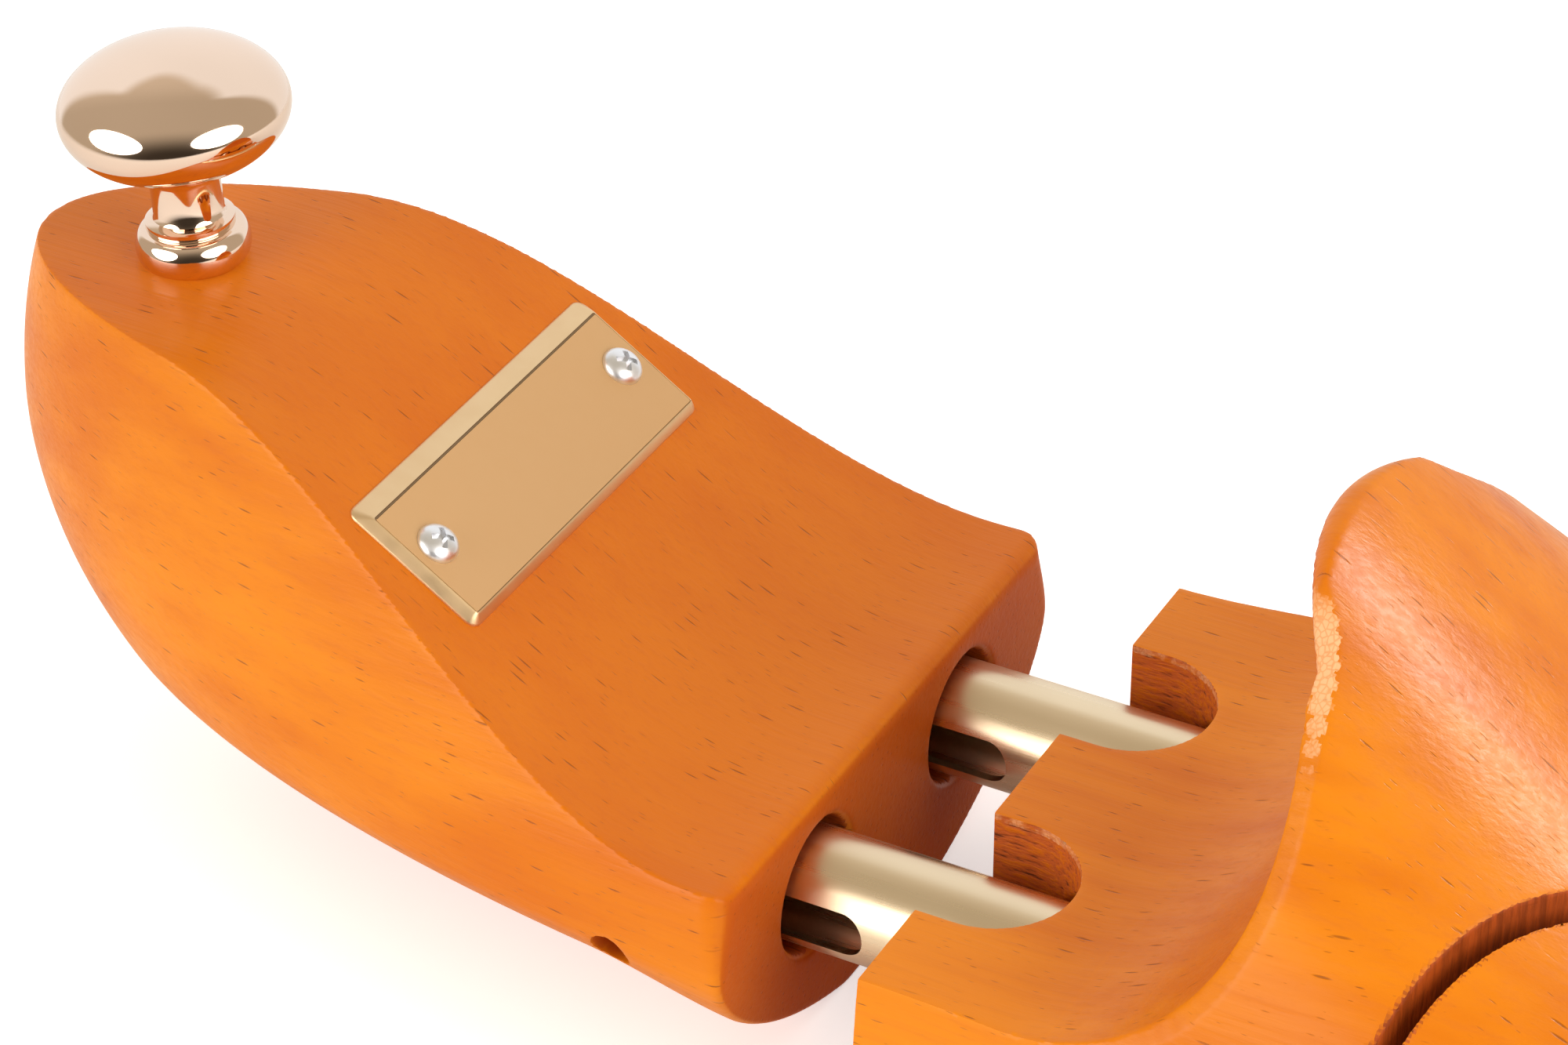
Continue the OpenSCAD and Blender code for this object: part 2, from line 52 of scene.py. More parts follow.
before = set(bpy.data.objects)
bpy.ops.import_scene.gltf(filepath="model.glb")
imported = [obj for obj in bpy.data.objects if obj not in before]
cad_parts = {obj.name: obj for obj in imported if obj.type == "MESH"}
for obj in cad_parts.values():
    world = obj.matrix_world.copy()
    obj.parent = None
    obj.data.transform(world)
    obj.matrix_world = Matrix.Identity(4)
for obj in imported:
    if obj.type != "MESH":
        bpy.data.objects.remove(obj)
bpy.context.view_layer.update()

MM = 0.001
SIDES = (1, -1)
HEEL_LOW, HEEL_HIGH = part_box("heel_block")
HINGE_LOW, HINGE_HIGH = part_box("hinge_pin")
CROSS_LOW, CROSS_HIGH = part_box("heel_cross_pin")
TUBE_LOW, TUBE_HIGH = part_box("tube_left")
HEEL_X = HEEL_HIGH.x
REAR_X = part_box("front_block")[0].x
TUBE_Y = (TUBE_LOW.y + TUBE_HIGH.y) / 2
TUBE_Z = (TUBE_LOW.z + TUBE_HIGH.z) / 2
TUBE_R = (TUBE_HIGH.y - TUBE_LOW.y) / 2
CROSS_X = (CROSS_LOW.x + CROSS_HIGH.x) / 2
# room that a carved or bored face leaves round the piece in it, so that even a fine skin stays clear
CLEAR = 0.3 * MM


class TreeSizes(bpy.types.PropertyGroup):
    """Sizes that shape the visible pieces."""

    heel_skin: IntProperty(
        name="Heel skin", description="Triangles of the heel block's skin",
        default=150000, min=20000, max=199000)
    front_skin: IntProperty(
        name="Front skin", description="Triangles of each front block's skin",
        default=180000, min=20000, max=199000)
    heel_detail: IntProperty(
        name="Heel detail", description="Halvings of the heel's length that give its skin's cells",
        default=8, min=6, max=10)
    front_detail: IntProperty(
        name="Front detail", description="Halvings of a front block's length that give its skin's cells",
        default=9, min=6, max=10)
    heel_sanding: IntProperty(
        name="Heel sanding", description="Passes that ease the heel's edges", default=4, min=0, max=60)
    front_sanding: IntProperty(
        name="Front sanding", description="Passes that ease the front blocks' edges",
        default=2, min=0, max=60)
    heel_corner: FloatProperty(
        name="Heel corner", description="Radius of the heel's upright front corners",
        default=0.8 * MM, min=0.3 * MM, max=6 * MM, unit="LENGTH")
    heel_brow: FloatProperty(
        name="Heel brow", description="Radius of the heel's top front edge",
        default=1.6 * MM, min=0.5 * MM, max=4 * MM, unit="LENGTH")
    mouth_radius: FloatProperty(
        name="Bore mouth", description="Radius of the widened mouths of the heel's bores",
        default=5.85 * MM, min=5.2 * MM, max=6.5 * MM, unit="LENGTH")
    tube_wall: FloatProperty(
        name="Tube wall", description="Wall of a tube",
        default=0.7 * MM, min=0.3 * MM, max=1 * MM, unit="LENGTH")


def tint(name, description, colour):
    """A colour that can be set in the panel."""
    return FloatVectorProperty(
        name=name, description=description, subtype="COLOR", default=colour, min=0, max=1)


class TreeColours(bpy.types.PropertyGroup):
    """Colours of the finishes."""

    wood_light: tint("Light wood", "Lighter tone of the stained wood", (0.745, 0.226, 0.005))
    wood_deep: tint("Deep wood", "Deeper tone of the stained wood", (0.60, 0.138, 0.003))
    wood_pore: tint("Pores", "Colour of the wood's pores", (0.13, 0.028, 0.005))
    wood_end: tint("End grain", "Colour of the end grain", (0.50, 0.10, 0.016))
    wood_sawn: tint("Sawn wood", "Colour of sawn and bored faces", (0.42, 0.07, 0.008))
    # the pale rims are a painted highlight, broken up like splintered wood
    wood_worn_highlight: tint("Worn rims with highlight", "Colour of splintered rims and their painted highlight", (0.86, 0.46, 0.22))
    knob: tint("Knob", "Colour of the polished knob", (0.90, 0.70, 0.56))
    tube: tint("Tubes", "Colour of the satin tubes", (0.86, 0.70, 0.48))
    plate: tint("Plate", "Colour of the plate's satin panel", (0.59, 0.345, 0.145))
    border: tint("Plate border", "Colour of the plate's polished border", (0.84, 0.61, 0.35))
    zinc: tint("Zinc", "Colour of the bright screws", (0.87, 0.88, 0.90))
    steel: tint("Steel", "Colour of pins and springs", (0.52, 0.52, 0.54))


def ease(t):
    """Smooth step from 0 to 1."""
    t = min(1.0, max(0.0, t))
    return t * t * (3 - 2 * t)


# Mesh helpers

def new_piece(name, bm):
    """A linked object that takes over the bmesh."""
    mesh = bpy.data.meshes.new(name)
    bm.to_mesh(mesh)
    bm.free()
    piece = bpy.data.objects.new(name, mesh)
    bpy.context.scene.collection.objects.link(piece)
    return piece


def baked(piece):
    """Gives the piece the mesh that its modifiers make, and takes the modifiers away."""
    graph = bpy.context.evaluated_depsgraph_get()
    mesh = bpy.data.meshes.new_from_object(piece.evaluated_get(graph))
    piece.modifiers.clear()
    piece.data = mesh
    return piece


def carve(piece, cutters, operation="DIFFERENCE"):
    """Cuts the piece with each cutter, or keeps what it shares with them, and removes the cutters."""
    for cutter in cutters:
        step = piece.modifiers.new(cutter.name, "BOOLEAN")
        step.object = cutter
        step.operation = operation
        step.solver = "EXACT"
    baked(piece)
    for cutter in cutters:
        bpy.data.objects.remove(cutter)
    return piece


def loft(name, sections):
    """A closed solid through sections, each a list of points of the same count, listed in the same turn."""
    bm = bmesh.new()
    count = len(sections[0])
    spot = bm.verts.layers.int.new("spot")
    ring = bmesh.ops.create_circle(bm, segments=count, radius=MM)["verts"]
    for index, vert in enumerate(ring):
        vert[spot] = index
        vert.co = sections[0][index]
    edges = list(bm.edges)
    for section in sections[1:]:
        grown = bmesh.ops.extrude_edge_only(bm, edges=edges)["geom"]
        edges = [item for item in grown if isinstance(item, bmesh.types.BMEdge)]
        for item in grown:
            if isinstance(item, bmesh.types.BMVert):
                item.co = section[item[spot]]
    bmesh.ops.holes_fill(bm, edges=bm.edges, sides=0)
    bmesh.ops.remove_doubles(bm, verts=bm.verts, dist=0.002 * MM)
    bmesh.ops.dissolve_degenerate(bm, edges=bm.edges, dist=0.002 * MM)
    bmesh.ops.recalc_face_normals(bm, faces=bm.faces)
    return new_piece(name, bm)


def turned_mesh(outline, steps=96):
    """A bmesh turned round the Z axis from an outline of (radius, height) points that ends on the axis."""
    bm = bmesh.new()
    chain = [bm.verts.new((radius, 0, height)) for radius, height in outline]
    edges = [bm.edges.new(pair) for pair in zip(chain, chain[1:])]
    bmesh.ops.spin(
        bm, geom=chain + edges, cent=(0, 0, 0), axis=(0, 0, 1), angle=math.tau, steps=steps, use_merge=True)
    bmesh.ops.remove_doubles(bm, verts=bm.verts, dist=0.001 * MM)
    bmesh.ops.recalc_face_normals(bm, faces=bm.faces)
    return bm


def turned(name, outline, place, steps=96):
    """A turned piece, set in the frame by a matrix."""
    bm = turned_mesh(outline, steps)
    bmesh.ops.transform(bm, matrix=place, verts=bm.verts)
    return new_piece(name, bm)


def prism(name, outline, low, high):
    """An upright solid over a plan of (x, y) points."""
    bm = bmesh.new()
    face = bm.faces.new([bm.verts.new((x, y, low)) for x, y in outline])
    grown = bmesh.ops.extrude_face_region(bm, geom=[face])["geom"]
    risen = [item for item in grown if isinstance(item, bmesh.types.BMVert)]
    bmesh.ops.translate(bm, vec=(0, 0, high - low), verts=risen)
    bmesh.ops.recalc_face_normals(bm, faces=bm.faces)
    return new_piece(name, bm)


def along_x(x, y, z):
    """Matrix that lays a turned piece's axis along +X from a point."""
    return Matrix.Translation((x, y, z)) @ Matrix.Rotation(math.pi / 2, 4, "Y")


def along_y(x, y, z):
    """Matrix that lays a turned piece's axis along +Y from a point."""
    return Matrix.Translation((x, y, z)) @ Matrix.Rotation(-math.pi / 2, 4, "X")


def rod(radius, length, chamfer):
    """Outline of a rod with chamfered ends."""
    return [(0, 0), (radius - chamfer, 0), (radius, chamfer), (radius, length - chamfer),
            (radius - chamfer, length), (0, length)]


def arc(centre, radius, start, end, steps):
    """Points of an arc in the (radius, height) plane, in degrees."""
    angles = [math.radians(start + (end - start) * i / steps) for i in range(steps + 1)]
    return [(centre[0] + radius * math.cos(a), centre[1] + radius * math.sin(a)) for a in angles]


def skinned(piece, detail, passes, limit, kept=None):
    """Gives a carved block a fine skin, sands its edges, and thins the skin except where it is kept."""
    skin = piece.modifiers.new("skin", "REMESH")
    skin.mode = "SHARP"
    skin.octree_depth = detail
    skin.scale = 0.99
    skin.use_remove_disconnected = False
    sand = piece.modifiers.new("sand", "SMOOTH")
    sand.factor = 0.5
    sand.iterations = passes
    baked(piece)
    thin = piece.modifiers.new("thin", "DECIMATE")
    thin.ratio = min(1.0, limit / (2 * len(piece.data.polygons)))
    if kept:
        thinned = piece.vertex_groups.new(name="thinned")
        thinned.add([vert.index for vert in piece.data.vertices if not kept(vert.co)], 1.0, "REPLACE")
        thin.vertex_group = thinned.name
    baked(piece)
    bm = bmesh.new()
    bm.from_mesh(piece.data)
    for vert in bm.verts:
        vert.co.z = max(0.0, vert.co.z)
    return bm


def sanded(bm, verts, passes):
    """Rounds the edges among some of the vertices further."""
    for _ in range(passes):
        bmesh.ops.smooth_vert(
            bm, verts=verts, factor=0.5, use_axis_x=True, use_axis_y=True, use_axis_z=True)


def smooth_wood(co, normal):
    """How sawn, how torn and how much wear and painted highlight a place has that is only sanded."""
    return 0.0


SKIN_SHARP = math.radians(45)


def keep_skin(piece, bm, sawn=smooth_wood, torn=smooth_wood, wear_and_highlight=smooth_wood):
    """Stores the skin with its rest normals and with how sawn, how torn, and how much wear and painted
    highlight each place has.
    """
    bm.normal_update()
    turn = bm.verts.layers.float_vector.new("rest_normal")
    shares = [(bm.faces.layers.float.new(name), share)
              for name, share in (("sawn", sawn), ("torn", torn), ("wear_and_highlight", wear_and_highlight))]
    for vert in bm.verts:
        vert[turn] = vert.normal
    for face in bm.faces:
        face.smooth = True
        centre = face.calc_center_median()
        for layer, share in shares:
            face[layer] = share(centre, face.normal)
    bm.to_mesh(piece.data)
    bm.free()
    piece.data.set_sharp_from_angle(angle=SKIN_SHARP)


def smooth_shaded(piece, sharp=30):
    """Shades a piece smoothly, apart from its sharp edges."""
    for face in piece.data.polygons:
        face.use_smooth = True
    piece.data.set_sharp_from_angle(angle=math.radians(sharp))
    return piece


def settle(piece, body, slot, material, *nodes):
    """Dresses a finished piece and lets it ride on its body in place of its nodes."""
    piece.data.materials.clear()
    piece.data.materials.append(material)
    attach(piece, body)
    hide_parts(*nodes)


# Shape of the heel block, s being the distance behind its front face

HEEL_LEN = HEEL_X - HEEL_LOW.x
HEEL_H = HEEL_HIGH.z
HEEL_W = 60.4 * MM
HEEL_FRONT_H = 23 * MM
SADDLE_START = 3.7 * MM
SADDLE_RUN = 56 * MM
HEEL_WIDE_Z = 15.2 * MM
HEEL_TAPER = 0.36
HEEL_SOFT = 8 * MM
HEEL_POW = 1.45
HEEL_FULL = 0.3
HEEL_FULL_RUN = 14 * MM
HEEL_ROUND = 0.9 * MM
HEEL_BACK_Z = 33.9 * MM
HEEL_BACK_FALL = 2.2 * MM
HEEL_TUCK = 0.98
HEEL_LOW_LEN = 35.3 * MM
HEEL_LOW_MID = -30.9 * MM
HEEL_TOP_MID = 17.2 * MM


def heel_top(s):
    """Height of the saddle at the distance s."""
    return HEEL_FRONT_H + (HEEL_H - HEEL_FRONT_H) * ease((s - SADDLE_START) / SADDLE_RUN)


def heel_half(s, z):
    """Half width of the block before its plan is rounded, at a distance and a height."""
    if z >= HEEL_WIDE_Z:
        rise = z - HEEL_WIDE_Z
        lost = rise * rise / (2 * HEEL_SOFT) if rise < HEEL_SOFT else rise - HEEL_SOFT / 2
        return HEEL_W / 2 - HEEL_TAPER * lost
    share = (HEEL_WIDE_Z - z) / (HEEL_WIDE_Z + HEEL_ROUND)
    power = HEEL_POW + HEEL_FULL * (1 - ease(s / HEEL_FULL_RUN))
    return HEEL_W / 2 * (1 - share ** power) ** (1 / power)


def heel_reach(z):
    """How far back the block reaches at a height."""
    if z >= HEEL_BACK_Z:
        return HEEL_LEN - HEEL_BACK_FALL * ((z - HEEL_BACK_Z) / (HEEL_H - HEEL_BACK_Z)) ** 2
    share = (HEEL_BACK_Z - z) / HEEL_BACK_Z
    return HEEL_LOW_LEN + (HEEL_LEN - HEEL_LOW_LEN) * math.sqrt(1 - HEEL_TUCK * share * share)


def heel_under(s):
    """Lowest height of the block at the distance s."""
    share = max(0.0, (s - HEEL_LOW_LEN) / (HEEL_LEN - HEEL_LOW_LEN))
    return HEEL_BACK_Z * (1 - min(1.0, math.sqrt(max(0.0, (1 - share * share) / HEEL_TUCK))))


def heel_over(s):
    """Highest height of the block at the distance s."""
    left = max(0.0, HEEL_LEN - s) / HEEL_BACK_FALL
    return min(heel_top(s), HEEL_BACK_Z + (HEEL_H - HEEL_BACK_Z) * math.sqrt(left))


def heel_edge(s, z):
    """Half width of the block at a distance and a height."""
    middle = HEEL_LOW_MID + (HEEL_TOP_MID - HEEL_LOW_MID) * z / HEEL_H
    share = max(0.0, s - middle) / (heel_reach(z) - middle)
    return heel_half(s, z) * math.sqrt(max(0.0, 1 - share * share))


def quarter_round(s, radius):
    """How far a front edge of that radius draws back at the distance s."""
    return radius - math.sqrt(radius * radius - (radius - min(s, radius)) ** 2)


HEEL_TOP_CORNER = 2.4 * MM
CORNER_START = 14 * MM
CORNER_RUN = 8 * MM


def corner_at(z, corner):
    """Radius of the upright front corners at a height: wider near the top."""
    return corner + (HEEL_TOP_CORNER - corner) * ease((z - CORNER_START) / CORNER_RUN)


HEEL_SOLE_EDGE = 0.6 * MM
FLANK_STEPS = 44
SADDLE_STEPS = 40
FLANK_EVEN = 1.7


def heel_section(s, corner, brow):
    """Points of the upright section at the distance s, up the inner flank and down the outer one."""
    low = heel_under(s) + quarter_round(s, HEEL_SOLE_EDGE)
    high = heel_over(s) - quarter_round(s, brow)
    levels = [low + (high - low) * (i / FLANK_STEPS) ** FLANK_EVEN for i in range(FLANK_STEPS + 1)]
    flank = [(max(0.0, heel_edge(s, z) - quarter_round(s, corner_at(z, corner))), z) for z in levels]
    width = flank[-1][0]
    saddle = [(width * (1 - 2 * i / SADDLE_STEPS), high) for i in range(1, SADDLE_STEPS)]
    outline = flank + saddle + [(-y, z) for y, z in reversed(flank)]
    return [(HEEL_X - s, y, z) for y, z in outline]


# Shape of the front blocks, u being the distance from the shelf's rear edge

FRONT_LEN = 171.98 * MM
WAIST_W = 62.2 * MM
BALL_W = 88.86 * MM
BALL_X = 105 * MM
CREST_H = 60.9 * MM
BALL_H = 36 * MM
TOE_H = 24 * MM
TOE_IN = 7 * MM
TOE_LIFT = 4 * MM
FRONT_WIDE_Z = 13 * MM
SHELF_Z = 21.5 * MM
SCOOP_R = 19.5 * MM
SCOOP_X = 11.5 * MM
DOME_SIDE_POW = 2.28
DOME_TOP_POW = 1.66
SOLE_POW = 2.6
SOLE_ROUND = 1.2 * MM
TOE_POW = 1.8
NOSE_LEN = 32 * MM
NOSE_Z = 11 * MM
FALL_START = 13.6 * MM
FALL_RUN = 52 * MM
TOE_FALL_START = 40 * MM
TOE_FALL_RUN = 115 * MM
TURN_START = 50 * MM
TURN_RUN = 110 * MM
LIFT_RUN = 60 * MM
SPLIT_GAP = 2.4 * MM
SPLIT_X = 41.7 * MM
SPLIT_Y = 30 * MM
SPLIT_BEND = 27 * MM
SPLIT_RUN = 12 * MM
SPLIT_SLOPE = 0.05
SPLIT_SKIP = 0.5 * MM
NOTCH_W = 14 * MM
NOTCH_LEN = 10.3 * MM
NOTCH_OFF = 0.5 * MM
WAIST_TRIM = 1.3 * MM
WAIST_TRIM_RUN = 18 * MM


def front_half(u):
    """Half width of the form at the distance u."""
    toe = 1.0
    if u > BALL_X:
        toe = math.sqrt(max(0.0, 1 - ((u - BALL_X) / (FRONT_LEN - BALL_X)) ** TOE_POW))
    return (WAIST_W + (BALL_W - WAIST_W) * ease(u / BALL_X)) / 2 * toe


def front_mid(u):
    """How far the form's middle turns in at the distance u."""
    return TOE_IN * ease((u - TURN_START) / TURN_RUN)


def front_top(u):
    """Height of the form's ridge at the distance u."""
    return (TOE_H + (BALL_H - TOE_H) * (1 - ease((u - TOE_FALL_START) / TOE_FALL_RUN))
            + (CREST_H - BALL_H) * (1 - ease((u - FALL_START) / FALL_RUN)))


def nose_share(u):
    """Share of the height that the round of the toe leaves at the distance u."""
    share = max(0.0, (u - FRONT_LEN + NOSE_LEN) / NOSE_LEN)
    return math.sqrt(max(0.0, 1 - share * share))


DOME_STEPS = 72
SIDE_STEPS = 18
SIDE_EVEN = 0.7


def front_section(u):
    """Points of the upright section at the distance u, from the inner side over the top and below."""
    half = front_half(u)
    top = front_top(u)
    outline = []
    for i in range(DOME_STEPS + 1):
        angle = math.pi * i / DOME_STEPS
        side = math.copysign(abs(math.cos(angle)) ** (2 / DOME_SIDE_POW), math.cos(angle))
        rise = max(0.0, math.sin(angle)) ** (2 / DOME_TOP_POW)
        outline.append((side * half, FRONT_WIDE_Z + (top - FRONT_WIDE_Z) * rise))
    flank = []
    for i in range(1, SIDE_STEPS + 1):
        z = FRONT_WIDE_Z * (1 - (i / SIDE_STEPS) ** SIDE_EVEN)
        share = ((FRONT_WIDE_Z - z) / (FRONT_WIDE_Z + SOLE_ROUND)) ** SOLE_POW
        flank.append((half * (1 - share) ** (1 / SOLE_POW), z))
    outline += [(-y, z) for y, z in flank] + list(reversed(flank))
    inner = 1 - WAIST_TRIM * (1 - ease(u / WAIST_TRIM_RUN)) / half
    outline = [(y * inner if y > 0 else y, z) for y, z in outline]
    lift = TOE_LIFT * ease((u - BALL_X) / LIFT_RUN)
    return [(REAR_X + u, front_mid(u) + y, lift + NOSE_Z + (z - NOSE_Z) * nose_share(u))
            for y, z in outline]


LIP_START = math.radians(-84)
LIP_STEPS = 60
LIP_LAND = 1.8 * MM
LIP_EXTRA = 1.0 * MM
LIP_DEEPEST = 2.4 * MM
LIP_REACH = 4 * MM
LIP_RUN_OUT = math.radians(50)
LIP_FIRST = 0.1
# angles on the hollow's circle, in degrees: where the land is widest, and how far it widens to each side
LAND_PEAK = 38
LAND_SPREAD = 28
# how much closer the land lies to the dome's slope than to the hollow's: along the flank, at the crest,
# and where the one turns into the other
LIP_TURN = 1.8
CREST_TURN = 1.1
TURN_FROM = 42
TURN_OVER = 22
SLOPE_STEP = 0.01 * MM


def dome_level(x, y, z):
    """Less than 1 inside the dome of the front form, more outside, behind the turn of the toe."""
    u = x - REAR_X
    rise = abs(z - FRONT_WIDE_Z) / (front_top(u) - FRONT_WIDE_Z)
    return (abs(y) / front_half(u)) ** DOME_SIDE_POW + rise ** DOME_TOP_POW


def hollow_point(angle):
    """Distance along X and height of a point on the hollow's circle."""
    return REAR_X + SCOOP_X + SCOOP_R * math.cos(angle), SHELF_Z + SCOOP_R + SCOOP_R * math.sin(angle)


def lip_top():
    """Angle on the hollow's circle at which it meets the crest."""
    low, high = LIP_START, math.pi / 2
    for _ in range(40):
        angle = (low + high) / 2
        x, z = hollow_point(angle)
        low, high = (angle, high) if z < front_top(x - REAR_X) else (low, angle)
    return low


def lip_land(angle):
    """Width of the land along the lip, wider below the crest."""
    return LIP_LAND + LIP_EXTRA * ease(1 - abs(math.degrees(angle) - LAND_PEAK) / LAND_SPREAD)


def lip_section(angle, side):
    """A square across the lip with one side where the land is to be, and the land's middle and half width."""
    x, z = hollow_point(angle)
    u = x - REAR_X
    rise = min(1.0, max(0.0, (z - FRONT_WIDE_Z) / (front_top(u) - FRONT_WIDE_Z)))
    y = side * front_half(u) * (1 - rise ** DOME_TOP_POW) ** (1 / DOME_SIDE_POW)
    step = SLOPE_STEP
    slope = Vector((dome_level(x + step, y, z) - dome_level(x - step, y, z),
                    dome_level(x, y + step, z) - dome_level(x, y - step, z),
                    dome_level(x, y, z + step) - dome_level(x, y, z - step))).normalized()
    hollow = Vector((-math.cos(angle), 0, -math.sin(angle)))
    share = LIP_TURN + (CREST_TURN - LIP_TURN) * ease((math.degrees(angle) - TURN_FROM) / TURN_OVER)
    out = (slope * share + hollow).normalized()
    across = slope.cross(hollow).normalized().cross(out)
    over, under = 1 / math.tan(out.angle(slope)), 1 / math.tan(out.angle(hollow))
    full = min(LIP_DEEPEST, lip_land(angle) / (over + under))
    depth = full * ease((angle - LIP_START) / LIP_RUN_OUT + LIP_FIRST)
    spot = Vector((x, y, z))
    square = [spot + out * far + across * wide * LIP_REACH
              for far, wide in ((-depth, 1), (-depth, -1), (LIP_REACH, -1), (LIP_REACH, 1))]
    turn = math.copysign(1, across.dot(slope))
    middle = spot - out * depth + across * turn * depth * (over - under) / 2
    return square, middle, lip_land(angle) / 2


def lip_sections():
    """Sections of the lip's cutter, up the outer side and down the inner one."""
    top = lip_top()
    angles = [LIP_START + (top - LIP_START) * math.sin(math.pi / 2 * i / LIP_STEPS)
              for i in range(LIP_STEPS)]
    outer = [lip_section(angle, -1) for angle in angles]
    return outer + [lip_section(angle, 1) for angle in reversed(angles)]


BODY_STEPS = 90
NOSE_STEPS = 26
NOSE_TURN = math.radians(87)


def front_form(name):
    """The whole front form, before the hollow, the notches and the split are cut."""
    straight = FRONT_LEN - NOSE_LEN
    places = [straight * i / BODY_STEPS for i in range(BODY_STEPS + 1)]
    places += [straight + NOSE_LEN * math.sin(NOSE_TURN * i / NOSE_STEPS)
               for i in range(1, NOSE_STEPS + 1)]
    return loft(name, [front_section(u) for u in places])


def split_at(u):
    """Plan of the saw cut: y of the front block's face at the distance u."""
    bend = 1 - math.exp(-(u - SPLIT_X) / SPLIT_RUN)
    return -SPLIT_Y + SPLIT_BEND * bend + SPLIT_SLOPE * (u - SPLIT_X)


SPLIT_STEPS = 120
FAR = 120 * MM
# how far a cutter reaches past the end of the block that it cuts
PAST = 5 * MM


def outer_side(name, skip, shift):
    """A solid over the outer side of the saw cut, moved along by the skip and out by the shift."""
    first = SPLIT_X - SPLIT_RUN
    step = (FRONT_LEN + PAST - first) / SPLIT_STEPS
    places = [first + i * step for i in range(SPLIT_STEPS + 1)]
    plan = [(REAR_X + u + skip, split_at(u) - shift) for u in places]
    plan += [(plan[-1][0], -FAR), (plan[0][0], -FAR)]
    return prism(name, plan, -FAR, FAR)


def saw_share(off, normal):
    """How sawn a place is, from its distance off the saw cut and its turn."""
    return (1 - ease((abs(off) / MM - 0.3) / 0.6)) * (1 - ease((abs(normal.z) - 0.45) / 0.35))


def notch_plan(side):
    """Plan of one open notch with its round end."""
    centre = REAR_X + NOTCH_LEN - NOTCH_W / 2
    middle = side * TUBE_Y - NOTCH_OFF
    end = arc((centre, middle), NOTCH_W / 2, -90, 90, 32)
    return [(REAR_X - PAST, middle - NOTCH_W / 2)] + end + [(REAR_X - PAST, middle + NOTCH_W / 2)]


# Finishes

class Shading:
    """A node tree whose shader nodes are added and linked one by one."""

    def __init__(self, tree):
        self.tree = tree

    def add(self, kind, inputs=(), **settings):
        """A node with its settings, and with its inputs set or linked; inputs go by name or by place."""
        made = self.tree.nodes.new("ShaderNode" + kind)
        for name, value in settings.items():
            setattr(made, name, value)
        for key, value in dict(inputs).items():
            self.put(made.inputs[key], value)
        return made

    def put(self, socket, value):
        """Links the socket to another one, or sets its constant."""
        if isinstance(value, bpy.types.NodeSocket):
            self.tree.links.new(value, socket)
        else:
            socket.default_value = value

    def math(self, operation, a, b=0.0):
        """What a sum of one or two values gives."""
        return self.add("Math", {0: a, 1: b}, operation=operation).outputs[0]

    def ramp(self, value, low, high, start=0.0, end=1.0):
        """The value mapped smoothly from low..high to start..end."""
        return self.add("MapRange", {"Value": value, "From Min": low, "From Max": high,
                                     "To Min": start, "To Max": end},
                        interpolation_type="SMOOTHSTEP").outputs["Result"]

    def mix(self, share, a, b):
        """Colour a, turning to b with the share."""
        made = self.add("Mix", data_type="RGBA")
        self.put(made.inputs["Factor"], share)
        self.put(made.inputs["A"], a)
        self.put(made.inputs["B"], b)
        return made.outputs["Result"]

    def scaled(self, vector, scale, shift=(0, 0, 0)):
        """The vector, scaled along each axis and then shifted."""
        made = self.add("Mapping", {"Vector": vector, "Scale": scale, "Location": shift})
        return made.outputs["Vector"]

    def noise(self, vector, scale, detail=2.0, rough=0.5):
        """Cloudy values round a half."""
        return self.add("TexNoise", {"Vector": vector, "Scale": scale, "Detail": detail,
                                     "Roughness": rough}).outputs[0]


class Finish(Shading):
    """A material with its nodes."""

    def __init__(self, name):
        self.material = bpy.data.materials.new(name)
        self.material.use_nodes = True
        super().__init__(self.material.node_tree)
        self.shader = next(n for n in self.tree.nodes if n.type == "BSDF_PRINCIPLED")

    def shade(self, **sockets):
        """Sets or links inputs of the main shader, and gives the material."""
        for name, value in sockets.items():
            self.put(self.shader.inputs[name.replace("_", " ")], value)
        return self.material


def opaque(colour):
    """The colour with full cover."""
    return (*colour, 1.0)


PORE_CELL = 8.2 * MM
PORE_SLIM = 9.0
PORE_HALF = 0.8 * MM


def pores(finish, along, across, seed, cell=PORE_CELL, slim=PORE_SLIM, half=PORE_HALF):
    """Share of short dark dashes that run along the grain, on a face that the two coordinates span."""
    plane = finish.add("CombineXYZ", {"X": along, "Y": across, "Z": 0.0}).outputs[0]
    spots = finish.add("TexVoronoi", {
        "Vector": finish.scaled(plane, (1 / cell, slim / cell, 1), (seed, seed * 1.7, 0)), "Scale": 1.0,
        "Randomness": 1.0}, voronoi_dimensions="2D")
    chance = finish.add("SeparateColor", {"Color": spots.outputs["Color"]})
    reach = finish.math("MULTIPLY", finish.math("ADD", chance.outputs[0], 0.35), half / cell)
    spot = finish.ramp(spots.outputs["Distance"], finish.math("MULTIPLY", reach, 0.35), reach, 1.0, 0.0)
    depth = finish.ramp(chance.outputs[1], 0.25, 0.8)
    return finish.math("MULTIPLY", spot, depth)


